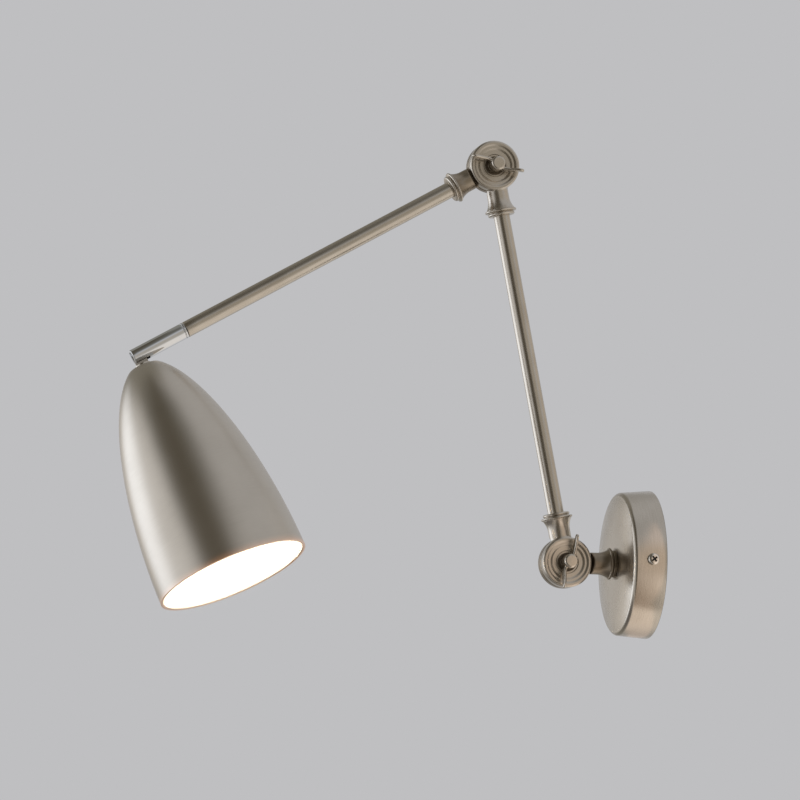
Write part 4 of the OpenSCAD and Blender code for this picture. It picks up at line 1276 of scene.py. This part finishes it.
@dataclass
class Studio:
    """A pale floor and soft surroundings, in which the lamp is seen as in the photograph."""

    azimuth: float = 78.166
    elevation: float = -6.828
    roll: float = 0.597
    camera_at: tuple[float, float, float] = (2.8807, -0.7932, -0.2354)
    lens: float = 180.8
    sensor: float = 36.0
    surround: str = "#BFBFC1"
    floor_z: float = -0.45
    floor_reach: float = 6.0
    floor_hue: str = "#D8D7D5"
    floor_roughness: float = 0.8
    floor_lift: float = 0.5
    patches: tuple[Patch, ...] = (
        Patch("#8B8880", -133, 0, 31, 90, upright=True),
        Patch("#68665F", -44, 45, 14, 44),
        Patch("#EBE3DA", 50, -62, 25, 75),
        Patch("#6F6B69", -110, -57, 15, 48),
        Patch("#CEC7BE", -153, 0, 5, 17),
        Patch("#F0F0F2", -93, -1, 16, 43, strength=0.95),
        Patch("#F1F6FF", -126, 1, 8, 30, strength=1.75),
        Patch("#575146", -24.5, 0, 12, 34, upright=True, lean=0.34),
        Patch("#B0A99E", 22, 3, 6, 32),
        Patch("#C6BDB2", 90, 0, 10, 41),
        Patch("#BEBEC0", 168, 7, 13, 34),
    )
    warm_hue: str = "#FFD9BE"
    # Each light's middle in x and z, its width and height, and how bright it is, where 1 is white
    warm_spots: tuple[tuple[float, ...], ...] = (
        (0.23, -0.18, 0.34, 0.48, 0.25), (0.0, -0.24, 0.12, 0.36, 0.22))
    warmed: tuple[str, ...] = ("canopy_", "wall_stub_", "lower_arm_base_", "lower_wing_nut_")

    def axes(self) -> tuple[Vector, Vector, Vector]:
        """Gives the camera's right, up and back."""
        a, e, r = map(math.radians, (self.azimuth, self.elevation, self.roll))
        back = Vector((math.cos(e) * math.sin(a), -math.cos(e) * math.cos(a), math.sin(e)))
        right = Vector((math.cos(a), math.sin(a), 0))
        up = back.cross(right)
        return right * math.cos(r) + up * math.sin(r), up * math.cos(r) - right * math.sin(r), back

    def camera(self) -> None:
        """Puts the camera where the photograph was taken from."""
        data = bpy.data.cameras.new("camera")
        data.lens = self.lens
        data.sensor_width = self.sensor
        camera = bpy.data.objects.new("camera", data)
        bpy.context.scene.collection.objects.link(camera)
        turn = Matrix(self.axes()).transposed().to_4x4()
        camera.matrix_world = Matrix.Translation(self.camera_at) @ turn
        bpy.context.scene.camera = camera

    def surroundings(self) -> bpy.types.World:
        """Makes the surroundings from their patches, each laid over the ones before it."""
        world = bpy.data.worlds.new("surround")
        world.use_nodes = True
        tree = world.node_tree
        way = add_node(tree, "ShaderNodeTexCoord").outputs["Generated"]
        colour: bpy.types.NodeSocket | None = None
        for patch in self.patches:
            blend = add_node(tree, "ShaderNodeMix", {
                "Factor": patch.share(tree, way), "A": colour if colour else linear(self.surround),
                "B": tuple(patch.strength * c for c in linear(patch.hue)[:3]) + (1.0,)}, data_type="RGBA")
            colour = blend.outputs["Result"]
        seen = add_node(tree, "ShaderNodeLightPath").outputs
        behind = add_node(tree, "ShaderNodeMath", {
            0: seen["Is Camera Ray"], 1: seen["Is Transmission Ray"]}, operation="MAXIMUM")
        whole = add_node(tree, "ShaderNodeMix", {
            "Factor": behind.outputs[0], "A": colour, "B": linear(self.surround)}, data_type="RGBA")
        background = tree.nodes["Background"]
        tree.links.new(whole.outputs["Result"], background.inputs["Color"])
        background.inputs["Strength"].default_value = 1.0
        return world

    def warm_light(self) -> None:
        """Adds soft warm light from behind and below, for the pieces at the foot of the lamp alone."""
        foot = bpy.data.collections.new("warmed")
        for piece in bpy.data.objects:
            if piece.name.startswith(self.warmed):
                foot.objects.link(piece)
        for x, z, width, height, radiance in self.warm_spots:
            data = bpy.data.lights.new("warm_light", "AREA")
            data.shape = "RECTANGLE"
            data.size, data.size_y = width, height
            data.energy = radiance * math.pi * width * height
            data.color = linear(self.warm_hue)[:3]
            light = bpy.data.objects.new("warm_light", data)
            bpy.context.scene.collection.objects.link(light)
            turn = Vector((0, 1, 0)).to_track_quat("Z", "Y").to_matrix().to_4x4()
            light.matrix_world = Matrix.Translation((x, 0, z)) @ turn
            light.visible_camera = False
            light.light_linking.receiver_collection = foot

    def floor(self) -> None:
        """Lays the pale floor, which keeps the lamp's shadow."""
        mesh = bpy.data.meshes.new("floor")
        ways = ((-1, -1), (1, -1), (1, 1), (-1, 1))
        corners = [(x * self.floor_reach, y * self.floor_reach, self.floor_z) for x, y in ways]
        mesh.from_pydata(corners, [], [(0, 1, 2, 3)])
        floor = new_object("floor", mesh)
        material, tree, shader = new_material("pale_floor")
        shader.inputs["Base Color"].default_value = linear(self.floor_hue)
        shader.inputs["Roughness"].default_value = self.floor_roughness
        shader.inputs["Emission Color"].default_value = linear(self.surround)
        seen = add_node(tree, "ShaderNodeLightPath").outputs["Is Camera Ray"]
        pale = add_node(tree, "ShaderNodeMath", {0: seen, 1: self.floor_lift}, operation="MULTIPLY")
        tree.links.new(pale.outputs[0], shader.inputs["Emission Strength"])
        mesh.materials.append(material)
        for way in ("diffuse", "glossy", "transmission", "shadow"):
            setattr(floor, f"visible_{way}", False)

    def build(self) -> None:
        """Builds the studio."""
        scene = bpy.context.scene
        scene.view_settings.view_transform = "Standard"
        scene.world = self.surroundings()
        self.camera()
        self.floor()


def main() -> None:
    """Builds the lamp and its studio."""
    logging.basicConfig(level=logging.INFO, format="%(message)s")
    studio = Studio()
    studio.build()
    lamp = Lamp()
    for part in (WallPlate(lamp), Arms(lamp), SwivelEnd(lamp), Shade(lamp), LampInside(lamp)):
        part.build()
    studio.warm_light()


if __name__ == "__main__":
    main()
